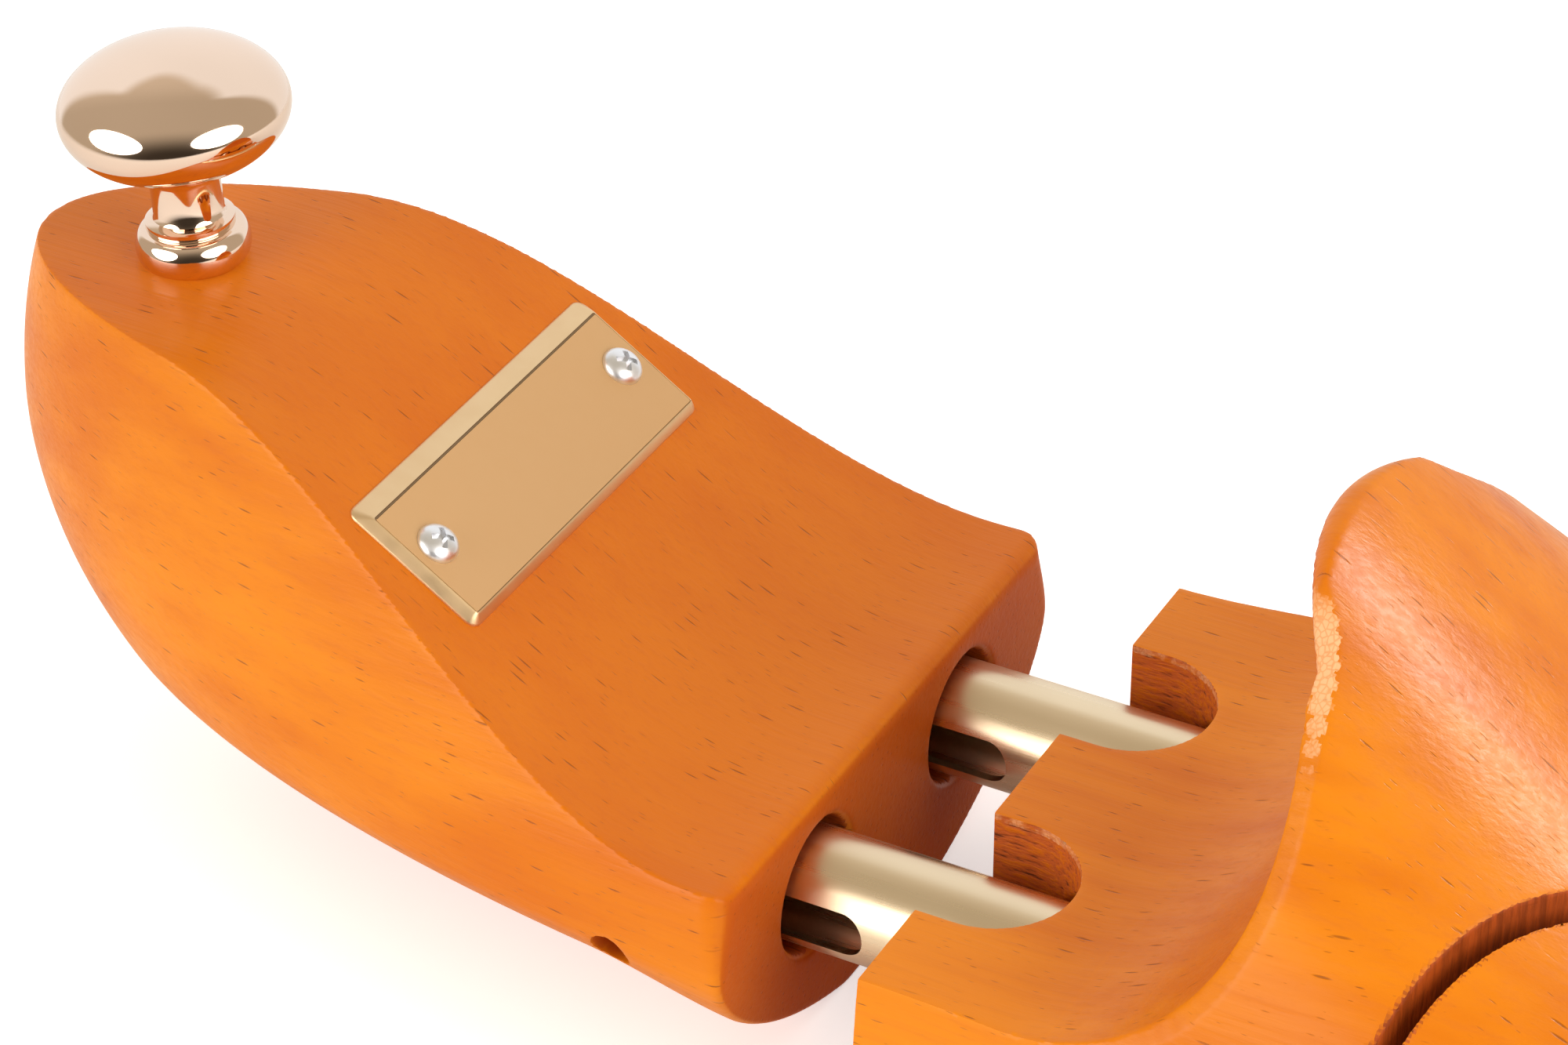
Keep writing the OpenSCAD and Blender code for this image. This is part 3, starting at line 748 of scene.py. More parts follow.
def stained_wood(name, colours, seed, top_shade=0.0):
    """Stained and lacquered hardwood with pore dashes, fibres, end grain, sawn faces and rims with wear and a
    painted highlight.

    Faces that look up may be painted darker, as painted shade on the top.
    """
    f = Finish(name)
    place = f.add("TexCoord").outputs["Object"]
    x, y, z = f.add("SeparateXYZ", {"Vector": place}).outputs
    normal = f.add("Attribute", attribute_name="rest_normal").outputs["Vector"]
    turn = f.add("SeparateXYZ", {"Vector": normal})
    end = f.ramp(f.math("ABSOLUTE", turn.outputs[0]), 0.75, 0.95)
    tilt = f.math("SUBTRACT", f.math("ABSOLUTE", turn.outputs[1]), f.math("ABSOLUTE", turn.outputs[2]))
    flank = f.ramp(tilt, -0.12, 0.12)
    sawn = f.add("Attribute", attribute_name="sawn").outputs["Fac"]
    torn = f.add("Attribute", attribute_name="torn").outputs["Fac"]
    wear_and_highlight = f.add("Attribute", attribute_name="wear_and_highlight").outputs["Fac"]

    wander = f.math("MULTIPLY", f.noise(f.scaled(place, (20, 20, 20)), 1.0), 3 * MM)
    flat = f.math("ADD", y, wander)
    upright = f.math("ADD", z, wander)
    wide = f.mix(flank, pores(f, x, flat, seed), pores(f, x, upright, seed + 3))
    fine = f.mix(flank, pores(f, x, flat, seed + 5, 4 * MM, 8.0, 0.36 * MM),
                 pores(f, x, upright, seed + 7, 4 * MM, 8.0, 0.36 * MM))
    dots = pores(f, y, z, seed + 9, 0.9 * MM, 1.3, 0.16 * MM)
    dash = f.math("MAXIMUM", wide, f.math("MULTIPLY", fine, 0.6))
    dash = f.mix(end, dash, f.math("MULTIPLY", dots, 0.5))

    fibre = f.noise(f.scaled(place, (70, 1800, 1800), (seed, 0, 0)), 1.0, 3.0, 0.6)
    cloud = f.noise(f.scaled(place, (14, 42, 42), (0, seed, 0)), 1.0, 3.0, 0.55)
    streak = f.noise(f.scaled(place, (9, 260, 260), (0, 0, seed)), 1.0, 2.0, 0.5)
    tone = f.math("ADD", f.math("MULTIPLY", cloud, 0.7), f.math("MULTIPLY", streak, 0.3))
    colour = f.mix(f.ramp(tone, 0.33, 0.66), opaque(colours.wood_deep), opaque(colours.wood_light))
    # painted shade: faces that look up are darkened towards the deep tone, as shade on the top
    colour = f.mix(f.ramp(turn.outputs[2], 0.5, 0.9, 0.0, top_shade), colour, opaque(colours.wood_deep))
    colour = f.mix(f.math("MULTIPLY", f.ramp(fibre, 0.45, 0.75), 0.16), colour, opaque(colours.wood_end))
    colour = f.mix(f.math("MULTIPLY", end, 0.75), colour, opaque(colours.wood_end))
    colour = f.mix(f.math("MULTIPLY", dash, 0.58), colour, opaque(colours.wood_pore))

    marks = f.noise(f.scaled(place, (1500, 1500, 130), (seed, 1, 2)), 1.0, 3.0, 0.65)
    dark = opaque(0.6 * part for part in colours.wood_sawn)
    cut = f.mix(f.ramp(marks, 0.36, 0.66), dark, opaque(colours.wood_sawn))
    colour = f.mix(sawn, colour, cut)
    grooves = f.noise(f.scaled(place, (450, 2400, 2400), (seed, 1, 2)), 1.0, 3.0, 0.65)
    ragged = f.mix(f.ramp(grooves, 0.26, 0.44), opaque(colours.wood_pore), opaque(colours.wood_end))
    ragged = f.mix(f.ramp(grooves, 0.44, 0.64), ragged, opaque(colours.wood_deep))
    colour = f.mix(torn, colour, ragged)
    splinter = f.noise(f.scaled(place, (500, 500, 500)), 1.0, 3.0, 0.7)
    cracks = f.add("TexVoronoi", {"Vector": f.scaled(place, (2100, 2100, 1300)), "Scale": 1.0},
                   feature="DISTANCE_TO_EDGE").outputs["Distance"]
    bare = f.math("ADD", splinter, f.math("MULTIPLY", wear_and_highlight, 0.42))
    pale = f.math("MULTIPLY", f.ramp(bare, 0.6, 0.82), wear_and_highlight)
    pale = f.math("MULTIPLY", pale, f.ramp(cracks, 0.0, 0.16, 0.55, 1.0))
    # painted highlight: the land and the notch rims turn pale where they catch the light, broken up by
    # splinters and cracks
    colour = f.mix(pale, colour, opaque(colours.wood_worn_highlight))

    height = f.math("SUBTRACT", f.math("MULTIPLY", fibre, 0.5), f.math("MULTIPLY", dash, 0.35))
    height = f.math("ADD", height, f.math("MULTIPLY", f.math("MULTIPLY", grooves, torn), 3.0))
    height = f.math("ADD", height, f.math("MULTIPLY", f.math("MULTIPLY", marks, sawn), 2.0))
    bump = f.add("Bump", {"Height": height, "Strength": 0.75, "Distance": 0.12 * MM}).outputs["Normal"]
    dull = f.math("MULTIPLY", f.math("MAXIMUM", sawn, torn), 0.3)
    gloss = f.math("ADD", f.ramp(fibre, 0.3, 0.7, 0.28, 0.38), dull)
    sheen = f.ramp(end, 0.0, 1.0, 0.18, 0.04)
    return f.shade(Base_Color=colour, Roughness=gloss, Normal=bump, Specular_IOR_Level=sheen)


TARNISH = (0.35, 0.24, 0.12, 1)


def metal(name, colour, rough, scratch=(200, 200, 200), spread=0.08, bump=0.02, bare=1.0, aged=0.12):
    """Metal with fine scratches that vary its gloss and with dimmer clouds, bare or partly lacquered."""
    f = Finish(name)
    place = f.add("TexCoord").outputs["Object"]
    marks = f.noise(f.scaled(place, scratch), 1.0, 4.0, 0.6)
    cloud = f.noise(f.scaled(place, (60, 60, 60)), 1.0, 2.0)
    tone = f.mix(f.ramp(cloud, 0.3, 0.7, 0.0, aged), opaque(colour), TARNISH)
    gloss = f.ramp(marks, 0.3, 0.7, max(0.02, rough - spread), rough + spread)
    if bump:
        relief = f.add("Bump", {"Height": marks, "Strength": bump, "Distance": 0.05 * MM})
        f.shade(Normal=relief.outputs["Normal"])
    return f.shade(Base_Color=tone, Metallic=bare, Roughness=gloss)


# Operators

def middle_of(node):
    """Middle, low corner and high corner of a node's box."""
    low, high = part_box(node)
    return (low + high) / 2, low, high


MOUTH_LEN = 6 * MM
MOUTH_LIP = 0.5 * MM
MOUTH_SKIN = 0.15 * MM
BORE_LEN = 44.7 * MM
CROSS_ROOM = 0.1 * MM
# share of painted shade that darkens the heel's upward faces, such as the saddle
HEEL_TOP_SHADE = 0.65
HEEL_SEED = 2.0


class TREE_OT_heel(bpy.types.Operator):
    """Shape the heel block with its saddle, bores and cross hole"""

    bl_idname = "tree.heel"
    bl_label = "Heel block"

    def execute(self, context):
        sizes, colours = context.scene.tree_sizes, context.scene.tree_colours
        corner, brow = sizes.heel_corner, sizes.heel_brow
        near = HEEL_TOP_CORNER
        places = [near * (1 - math.cos(math.radians(5 * i))) for i in range(19)]
        places += [near + (HEEL_LEN - near) * math.sin(math.radians(0.9 * i)) for i in range(1, 101)]
        block = loft("heel_wood", [heel_section(s, corner, brow) for s in places])
        bore = TUBE_R + CLEAR
        mouth = sizes.mouth_radius
        outline = [(0, 0), (bore, 0), (bore, BORE_LEN - MOUTH_LEN), (mouth, BORE_LEN - MOUTH_LEN),
                   (mouth, BORE_LEN - MOUTH_LIP), (mouth + MOUTH_LIP, BORE_LEN),
                   (mouth + MOUTH_LIP, BORE_LEN + MM), (0, BORE_LEN + MM)]
        cutters = [turned("bore", outline, along_x(HEEL_X - BORE_LEN, side * TUBE_Y, TUBE_Z))
                   for side in SIDES]
        cross = rod((CROSS_HIGH.x - CROSS_LOW.x) / 2 + CROSS_ROOM, 2 * HEEL_W, 0)
        cutters.append(turned("cross", cross, along_y(CROSS_X, -HEEL_W, TUBE_Z), 48))
        carve(block, cutters)
        bm = skinned(block, sizes.heel_detail, sizes.heel_sanding, sizes.heel_skin)

        def torn(co, normal):
            off = min(math.hypot(co.y - side * TUBE_Y, co.z - TUBE_Z) for side in SIDES)
            return 1.0 if off < mouth + MOUTH_SKIN and co.x > HEEL_X - BORE_LEN else 0.0

        keep_skin(block, bm, torn=torn)
        wood = stained_wood("heel_wood", colours, HEEL_SEED, HEEL_TOP_SHADE)
        settle(block, "heel", "heel_wood", wood, "heel_block")
        return {"FINISHED"}


CREST_Z = 47 * MM
CREST_WIDE = 5 * MM
CREST_PASSES = 2
# the round cut that trims the lip's top: distance from the shelf's rear edge and height, in millimetres
CREST_CUT = [(0, 47), (24.6, 47)] + arc((26.6, 54.85), 2, 180, 66, 10) + [(27.41, 80), (0, 80)]
# how far to each side it rounds, and how much it draws back and falls by the square of that distance
CREST_ROUND = 14
CREST_BACK = 1 / 40
CREST_FALL = 0.0185
CREST_FAR = 120
# the land, painted pale as a highlight where it catches the light: its ends and how it narrows to them, its
# share of the cut, and its edge's blur
LAND_LOW = 42 * MM
LAND_RISE = 8 * MM
LAND_HIGH = 55.8 * MM
LAND_FALL = 3.5 * MM
LAND_SHARE = 0.8
LAND_EDGE = 0.2 * MM
LAND_KEPT = 2.4 * MM


def crest_cutter():
    """The cutter of the lip's top, which draws back and falls to both sides."""
    sections = []
    for y in [-CREST_FAR] + list(range(-CREST_ROUND, CREST_ROUND + 1)) + [CREST_FAR]:
        side = min(CREST_ROUND, abs(y)) ** 2
        sections.append([(REAR_X + (u + CREST_BACK * side) * MM, y * MM, (z - CREST_FALL * side) * MM)
                         for u, z in CREST_CUT])
    return loft("crest", sections)


def near_crest(co):
    """Whether a place lies on the top of the hollow's lip."""
    off = math.hypot(co.x - REAR_X - SCOOP_X, co.z - SHELF_Z - SCOOP_R) - SCOOP_R
    return co.z > CREST_Z and off < CREST_WIDE


GUIDE_SEAT_R = 4.5 * MM + CLEAR
GUIDE_R = 2.5 * MM + CLEAR
GUIDE_HOLD = 14 * MM
TOE_TRAVEL = 1.9 * MM


def guide_lines():
    """Middle, lower end and upper end, along Y, of each guide pin."""
    boxes = [middle_of("guide_pin_" + word) for word in ("rear", "front")]
    return [(centre, low.y, high.y) for centre, low, high in boxes]


HINGE_ROOM = 0.15 * MM
POCKET_R = TUBE_R + 0.85 * MM
POCKET_X = TUBE_HIGH.x + 1.8 * MM
NOTCH_SKIN = 0.35 * MM
RIM_TOP = 0.05 * MM
RIM_LOW = 0.9 * MM
# how pale the notch rims are painted, as the highlight along their rounded top edge
RIM_HIGHLIGHT = 0.5
FRONT_SEED = 11.0


def in_notch(co):
    """Whether a place lies in or on the wall of an open notch, seen from above."""
    for side in SIDES:
        across = abs(co.y - side * TUBE_Y + NOTCH_OFF)
        ahead = max(0.0, co.x - (REAR_X + NOTCH_LEN - NOTCH_W / 2))
        if math.hypot(across, ahead) < NOTCH_W / 2 + NOTCH_SKIN:
            return True
    return False


def front_cutters(lip):
    """Cutters of everything that is sawn, milled and bored out of the front block."""
    middle = along_y(REAR_X + SCOOP_X, -FAR, SHELF_Z + SCOOP_R)
    shelf = [(REAR_X - PAST, -FAR), (REAR_X + SCOOP_X, -FAR), (REAR_X + SCOOP_X, FAR), (REAR_X - PAST, FAR)]
    cutters = [turned("hollow", rod(SCOOP_R, 2 * FAR, 0), middle, 192), prism("shelf", shelf, SHELF_Z, FAR),
               crest_cutter(), loft("lip", [square for square, middle, half in lip]),
               outer_side("split", 0.0, 0.0)]
    start = REAR_X + NOTCH_LEN - NOTCH_W / 2
    for side in SIDES:
        cutters.append(prism("notch", notch_plan(side), TUBE_Z - TUBE_R - CLEAR, FAR))
        pocket = rod(POCKET_R, POCKET_X - start, 0)
        cutters.append(turned("pocket", pocket, along_x(start, side * TUBE_Y, TUBE_Z)))
    hinge = rod((HINGE_HIGH.x - HINGE_LOW.x) / 2 + HINGE_ROOM, 2 * WAIST_W, 0)
    cutters.append(turned("hinge", hinge, along_y(0, -WAIST_W, TUBE_Z), 48))
    for centre, low, high in guide_lines():
        place = along_y(centre.x, low, centre.z)
        cutters.append(turned("seat", rod(GUIDE_SEAT_R, high - GUIDE_HOLD - low, 0), place, 48))
        cutters.append(turned("guide", rod(GUIDE_R, high + CLEAR - low, 0), place, 48))
    return cutters


class TREE_OT_front(bpy.types.Operator):
    """Shape the front block with its shelf, notches, hollow and saw cut"""

    bl_idname = "tree.front"
    bl_label = "Front block"

    def execute(self, context):
        sizes, colours = context.scene.tree_sizes, context.scene.tree_colours
        lip = lip_sections()
        block = carve(front_form("front_wood"), front_cutters(lip))
        land = kdtree.KDTree(2 * LIP_STEPS)
        for index, (square, middle, half) in enumerate(lip):
            land.insert(middle, index)
        land.balance()

        def by_land(co):
            return co.z > LAND_LOW and land.find(co)[2] < LAND_KEPT

        bm = skinned(block, sizes.front_detail, sizes.front_sanding, sizes.front_skin, by_land)
        sanded(bm, [vert for vert in bm.verts if near_crest(vert.co)], CREST_PASSES)

        def sawn(co, normal):
            u = co.x - REAR_X
            return saw_share(co.y - split_at(u), normal) if u > SPLIT_X - SPLIT_RUN else 0.0

        def torn(co, normal):
            if in_notch(co) and co.z < SHELF_Z:
                return 1 - ease((abs(normal.z) - 0.35) / 0.35)
            return 0.0

        # painted highlight on the notch rims and on the lip's land, broken up like splintered wear
        def wear_and_highlight(co, normal):
            if in_notch(co) and SHELF_Z - RIM_LOW < co.z < SHELF_Z - RIM_TOP:
                return RIM_HIGHLIGHT
            if co.y < 0 and LAND_LOW < co.z < LAND_HIGH:
                span = ease((co.z - LAND_LOW) / LAND_RISE) * ease((LAND_HIGH - co.z) / LAND_FALL)
                middle, index, off = land.find(co)
                half = LAND_SHARE * lip[index][2] * math.sqrt(span)
                return span * (1 - ease((off - half) / LAND_EDGE))
            return 0.0

        keep_skin(block, bm, sawn, torn, wear_and_highlight)
        settle(block, "front", "front_wood", stained_wood("front_wood", colours, FRONT_SEED), "front_block")
        return {"FINISHED"}


class TREE_OT_side(bpy.types.Operator):
    """Shape the toe side block beyond the saw cut"""

    bl_idname = "tree.side"
    bl_label = "Toe side block"

    def execute(self, context):
        sizes, colours = context.scene.tree_sizes, context.scene.tree_colours
        block = front_form("side_wood")
        carve(block, [outer_side("outer", SPLIT_SKIP, SPLIT_GAP)], "INTERSECT")
        cutters = []
        for centre, low, high in guide_lines():
            place = along_y(centre.x, low - TOE_TRAVEL - CLEAR, centre.z)
            cutters.append(turned("bush", rod(GUIDE_SEAT_R, high - low, 0), place, 48))
        carve(block, cutters)
        bm = skinned(block, sizes.front_detail, sizes.front_sanding, sizes.front_skin)

        def sawn(co, normal):
            return saw_share(co.y - split_at(co.x - REAR_X - SPLIT_SKIP) + SPLIT_GAP, normal)

        keep_skin(block, bm, sawn)
        wood = stained_wood("side_wood", colours, FRONT_SEED)
        settle(block, "toe_side", "side_wood", wood, "toe_side_block")
        return {"FINISHED"}


KNOB_LEAN = math.radians(4.5)
KNOB_FOOT = Vector((HEEL_X - 65.9 * MM, 0, HEEL_H - 0.4 * MM))
HEAD_R = 9.75 * MM
HEAD_HALF = 5.5 * MM
HEAD_Z = 14.19 * MM
NECK_R = 3 * MM
FOOT_R = 4.9 * MM
FOOT_H = 3.4 * MM
RING_H = 0.8 * MM
STUD_R = 2 * MM
STUD_LEN = 23 * MM
STUD_DEEP = 14 * MM


class TREE_OT_knob(bpy.types.Operator):
    """Turn the pull knob and its stud"""

    bl_idname = "tree.knob"
    bl_label = "Pull knob"

    def execute(self, context):
        colours = context.scene.tree_colours
        place = Matrix.Translation(KNOB_FOOT) @ Matrix.Rotation(-KNOB_LEAN, 4, "Y")
        foot = [(FOOT_R - MM + math.cos(a) * MM, FOOT_H / 2 * (1 + math.sin(a)))
                for a in [math.radians(-60 + 135 * i / 14) for i in range(15)]]
        ring = [(NECK_R + 0.75 * MM, FOOT_H), (NECK_R + 0.8 * MM, FOOT_H + 0.15 * MM),
                (NECK_R + 0.8 * MM, FOOT_H + RING_H - 0.15 * MM), (NECK_R + 0.6 * MM, FOOT_H + RING_H),
                (NECK_R + 0.15 * MM, FOOT_H + RING_H + 0.2 * MM), (NECK_R, FOOT_H + RING_H + 0.6 * MM)]
        under = math.acos((NECK_R + 1.1 * MM) / HEAD_R)
        join = HEAD_Z - HEAD_HALF * math.sin(under)
        neck = [(NECK_R, join - 1.4 * MM), (NECK_R + 0.1 * MM, join - 0.9 * MM),
                (NECK_R + 0.4 * MM, join - 0.4 * MM)]
        head = [(HEAD_R * math.cos(a), HEAD_Z + HEAD_HALF * math.sin(a))
                for a in [-under + (math.pi / 2 + under) * i / 48 for i in range(49)]]
        outline = [(0, 0), (FOOT_R - 0.7 * MM, 0)] + foot + ring + neck + head[:-1]
        outline += [(0, HEAD_Z + HEAD_HALF)]
        knob = smooth_shaded(turned("pull_knob", outline, place, 128), 40)
        polished = metal("polished_knob", colours.knob, 0.05, (300, 300, 300), 0.02, 0.01)
        settle(knob, "heel", "knob_metal", polished, "heel_knob")
        stud = turned("knob_stud_steel", rod(STUD_R, STUD_LEN, 0.3 * MM),
                      place @ Matrix.Translation((0, 0, -STUD_DEEP)), 48)
        steel = metal("stud_steel", colours.steel, 0.3)
        settle(smooth_shaded(stud), "heel", "pin_metal", steel, "knob_stud")
        return {"FINISHED"}


PLATE_IN = 34.1 * MM
PLATE_L = 37 * MM
PLATE_H = 13.9 * MM
PLATE_T = 1.2 * MM
PLATE_SINK = 0.3 * MM
SCREW_PITCH = 30 * MM
SCREW_R = 1.85 * MM
SCREW_FLAT = 0.62
SHANK_R = 1 * MM
RECESS = (2.0 * MM, 0.5 * MM, 1.4 * MM)
RECESS_Z = 1.2 * MM
# painted shade: the plate's shallow groove line is dark brown to stand for the shade inside it
LINE_SHADE_COLOUR = (0.30, 0.20, 0.11)
# rise of the plate's border: how far in and how high each step lies, in millimetres
PLATE_RISE = ((0, 0), (0, 0.3), (0.06, 0.42), (0.2, 0.52), (1.5, 1.1), (1.72, 1.17), (1.9, 1.2),
              (1.97, 1.13), (2.07, 1.13), (2.13, 1.19))
LINE_INSET = 1.92 * MM
PANEL_INSET = 2.1 * MM
PLATE_CORNER = 1.0 * MM
CORNER_STEPS = 8
# how wide the border is along each edge: towards the toe, the inner side, the heel and the outer side
BORDER_SHARES = (0.4, 0.4, 1.0, 0.42)


def plate_edges(inset):
    """Where the plate's four edges lie at an inset, as distances from its middle."""
    half = (PLATE_H / 2, PLATE_L / 2, PLATE_H / 2, PLATE_L / 2)
    return [far - inset * share for far, share in zip(half, BORDER_SHARES)]


def within_plate(spot, inset):
    """Whether a place lies inside the plate's outline at an inset."""
    toe, inner, heel, outer = plate_edges(inset)
    return -heel < spot.x < toe and -outer < spot.y < inner


def plate_section(inset, height):
    """A level outline of the plate with round corners."""
    radius = PLATE_CORNER - 0.4 * inset
    toe, inner, heel, outer = [far - radius for far in plate_edges(inset)]
    outline = []
    for corner, (x, y) in enumerate(((toe, inner), (-heel, inner), (-heel, -outer), (toe, -outer))):
        for i in range(CORNER_STEPS + 1):
            turn = math.radians(90 * (corner + i / CORNER_STEPS))
            outline.append((x + radius * math.cos(turn), y + radius * math.sin(turn), height))
    return outline


def plate_place():
    """Matrix of the plate's seat on the saddle's slope."""
    rise = heel_top(PLATE_IN + PLATE_H / 2) - heel_top(PLATE_IN - PLATE_H / 2)
    tilt = math.atan(rise / PLATE_H)
    seat = Matrix.Translation((HEEL_X - PLATE_IN, 0, heel_top(PLATE_IN)))
    return seat @ Matrix.Rotation(tilt, 4, "Y") @ Matrix.Translation((0, 0, -PLATE_SINK))


def plate_zone(face):
    """Which of the plate's finishes a face wears: 0 for the border, 1 for the groove line, painted dark as its
    shade, and 2 for the panel.
    """
    if face.normal.z < 0.5:
        return 0
    return sum(within_plate(face.center, inset) for inset in (LINE_INSET, PANEL_INSET))


class TREE_OT_plate(bpy.types.Operator):
    """Stamp the bare plate with its bevelled border, and turn its two screws"""

    bl_idname = "tree.plate"
    bl_label = "Plate"

    def execute(self, context):
        colours = context.scene.tree_colours
        plate = loft("bare_plate", [plate_section(far * MM, height * MM) for far, height in PLATE_RISE])
        zones = [plate_zone(face) for face in plate.data.polygons]
        plate.data.transform(plate_place())
        smooth_shaded(plate, 35)
        border = metal("plate_border", colours.border, 0.42, (400, 400, 400), 0.04, 0.0, aged=0.03)
        settle(plate, "heel", "plate_metal", border, "name_plate")
        panel = metal("plate_panel", colours.plate, 0.5, (500, 500, 500), 0.03, 0.0, 0.15, 0.0)
        # the line's dark finish is painted shade in the shallow groove
        for finish in (metal("plate_line_shade", LINE_SHADE_COLOUR, 0.5, (400, 400, 400)), panel):
            plate.data.materials.append(finish)
        for face, zone in zip(plate.data.polygons, zones):
            face.material_index = zone

        dome = [(radius, height * SCREW_FLAT) for radius, height in arc((0, 0), SCREW_R, 0, 90, 16)]
        outline = [(0, -9 * MM), (0.6 * MM, -8.4 * MM), (SHANK_R, -7.6 * MM), (SHANK_R, 0),
                   (SCREW_R - 0.03 * MM, 0)]
        outline += dome[:-1] + [(0, SCREW_R * SCREW_FLAT)]
        screws = []
        for side in SIDES:
            place = plate_place() @ Matrix.Translation((0, side * SCREW_PITCH / 2, PLATE_T))
            screw = turned("plate_screw", outline, place, 48)
            cutters = []
            for turn in (45, 135):
                cross = bmesh.new()
                bmesh.ops.create_cube(cross, size=1.0)
                bmesh.ops.scale(cross, vec=RECESS, verts=cross.verts)
                spin = Matrix.Translation((0, 0, RECESS_Z)) @ Matrix.Rotation(math.radians(turn), 4, "Z")
                bmesh.ops.transform(cross, matrix=place @ spin, verts=cross.verts)
                cutters.append(new_piece("recess", cross))
            screws.append(smooth_shaded(carve(screw, cutters)))
        pair = bmesh.new()
        for screw in screws:
            pair.from_mesh(screw.data)
            bpy.data.objects.remove(screw)
        both = smooth_shaded(new_piece("plate_screw_pair", pair))
        zinc = metal("bright_zinc", colours.zinc, 0.36, (900, 900, 900), 0.06, 0.05, aged=0.03)
        settle(both, "heel", "screw_metal", zinc, "plate_screws")
        return {"FINISHED"}


SLOT_R = 2 * MM
SLOT_FRONT = HEEL_X + 6.5 * MM
SLOT_REAR = CROSS_LOW.x - 0.05 * MM
TUBE_LIP = 0.15 * MM
TUBE_HINGE_ROOM = 0.06 * MM


class TREE_OT_tubes(bpy.types.Operator):
    """Draw the two slotted tubes"""

    bl_idname = "tree.tubes"
    bl_label = "Tubes"

    def execute(self, context):
        sizes, colours = context.scene.tree_sizes, context.scene.tree_colours
        brass = metal("satin_tube", colours.tube, 0.3, (30, 700, 700), 0.06, 0.06)
        length = TUBE_HIGH.x - TUBE_LOW.x
        inner = TUBE_R - sizes.tube_wall
        lip = TUBE_LIP
        outline = [(inner, lip), (inner + lip, 0), (TUBE_R - lip, 0), (TUBE_R, lip), (TUBE_R, length - lip),
                   (TUBE_R - lip, length), (inner + lip, length), (inner, length - lip), (inner, lip)]
        plan = arc((SLOT_REAR + SLOT_R, 0), SLOT_R, 90, 270, 24)
        plan += arc((SLOT_FRONT - SLOT_R, 0), SLOT_R, -90, 90, 24)
        bolt = rod((HINGE_HIGH.x - HINGE_LOW.x) / 2 + TUBE_HINGE_ROOM, 4 * TUBE_R, 0)
        for side, word in zip(SIDES, ("left", "right")):
            y = side * TUBE_Y
            tube = turned("tube_" + word + "_brass", outline, along_x(TUBE_LOW.x, y, TUBE_Z), 128)
            slot = prism("slot", plan, -TUBE_R - MM, TUBE_R + MM)
            slot.data.transform(Matrix.Translation((0, y, TUBE_Z)) @ Matrix.Rotation(math.pi / 2, 4, "X"))
            hole = turned("hole", bolt, along_y(0, y - 2 * TUBE_R, TUBE_Z), 48)
            smooth_shaded(carve(tube, [slot, hole]))
            settle(tube, "tubes", "tube_metal", brass, "tube_" + word)
        return {"FINISHED"}


PIN_CHAMFER = 0.4 * MM
SHAFT_R = 2.5 * MM
SHAFT_CHAMFER = 0.5 * MM
PIN_HEAD_H = 2 * MM
BUSH_GAP = 0.05 * MM
BUSH_R = 4.5 * MM
BUSH_BORE_R = 2.56 * MM
BUSH_LEN = 5 * MM
BUSH_CHAMFER = 0.2 * MM


def bush_outline():
    """Outline of a bush with all four edges chamfered."""
    edge = BUSH_CHAMFER
    return [(BUSH_BORE_R, edge), (BUSH_BORE_R + edge, 0), (BUSH_R - edge, 0), (BUSH_R, edge),
            (BUSH_R, BUSH_LEN - edge), (BUSH_R - edge, BUSH_LEN), (BUSH_BORE_R + edge, BUSH_LEN),
            (BUSH_BORE_R, BUSH_LEN - edge), (BUSH_BORE_R, edge)]


class TREE_OT_pins(bpy.types.Operator):
    """Turn the pins and bushes"""

    bl_idname = "tree.pins"
    bl_label = "Pins and bushes"

    def execute(self, context):
        colours = context.scene.tree_colours
        steel = metal("pin_steel", colours.steel, 0.3, (400, 40, 400))
        for node, body in (("hinge_pin", "front"), ("heel_cross_pin", "heel")):
            centre, low, high = middle_of(node)
            outline = rod((high.x - low.x) / 2, high.y - low.y, PIN_CHAMFER)
            pin = turned(node + "_steel", outline, along_y(centre.x, low.y, centre.z), 64)
            settle(smooth_shaded(pin), body, "pin_metal", steel, node)
        brass = metal("turned_brass", colours.tube, 0.25)
        bushes = bmesh.new()
        for node in ("guide_pin_rear", "guide_pin_front"):
            centre, low, high = middle_of(node)
            head = (high.x - low.x) / 2
            length = high.y - low.y
            edge = SHAFT_CHAMFER
            outline = [(0, 0), (head - edge, 0), (head, edge), (head, PIN_HEAD_H), (SHAFT_R, PIN_HEAD_H),
                       (SHAFT_R, length - edge), (SHAFT_R - edge, length), (0, length)]
            pin = turned(node + "_steel", outline, along_y(centre.x, low.y, centre.z), 64)
            settle(smooth_shaded(pin), "front", "pin_metal", steel, node)
            start = low.y + PIN_HEAD_H + BUSH_GAP
            bush = turned("bush", bush_outline(), along_y(centre.x, start, centre.z), 64)
            bushes.from_mesh(bush.data)
            bpy.data.objects.remove(bush)
        pair = smooth_shaded(new_piece("guide_bush_pair", bushes))
        settle(pair, "toe_side", "bush_metal", brass, "guide_bushes")
        return {"FINISHED"}


SLIDE_WIRE = 0.9 * MM
SLIDE_CURLS = 7
TOE_WIRE = 0.8 * MM
TOE_CURLS = 4
CURL_STEPS = 48


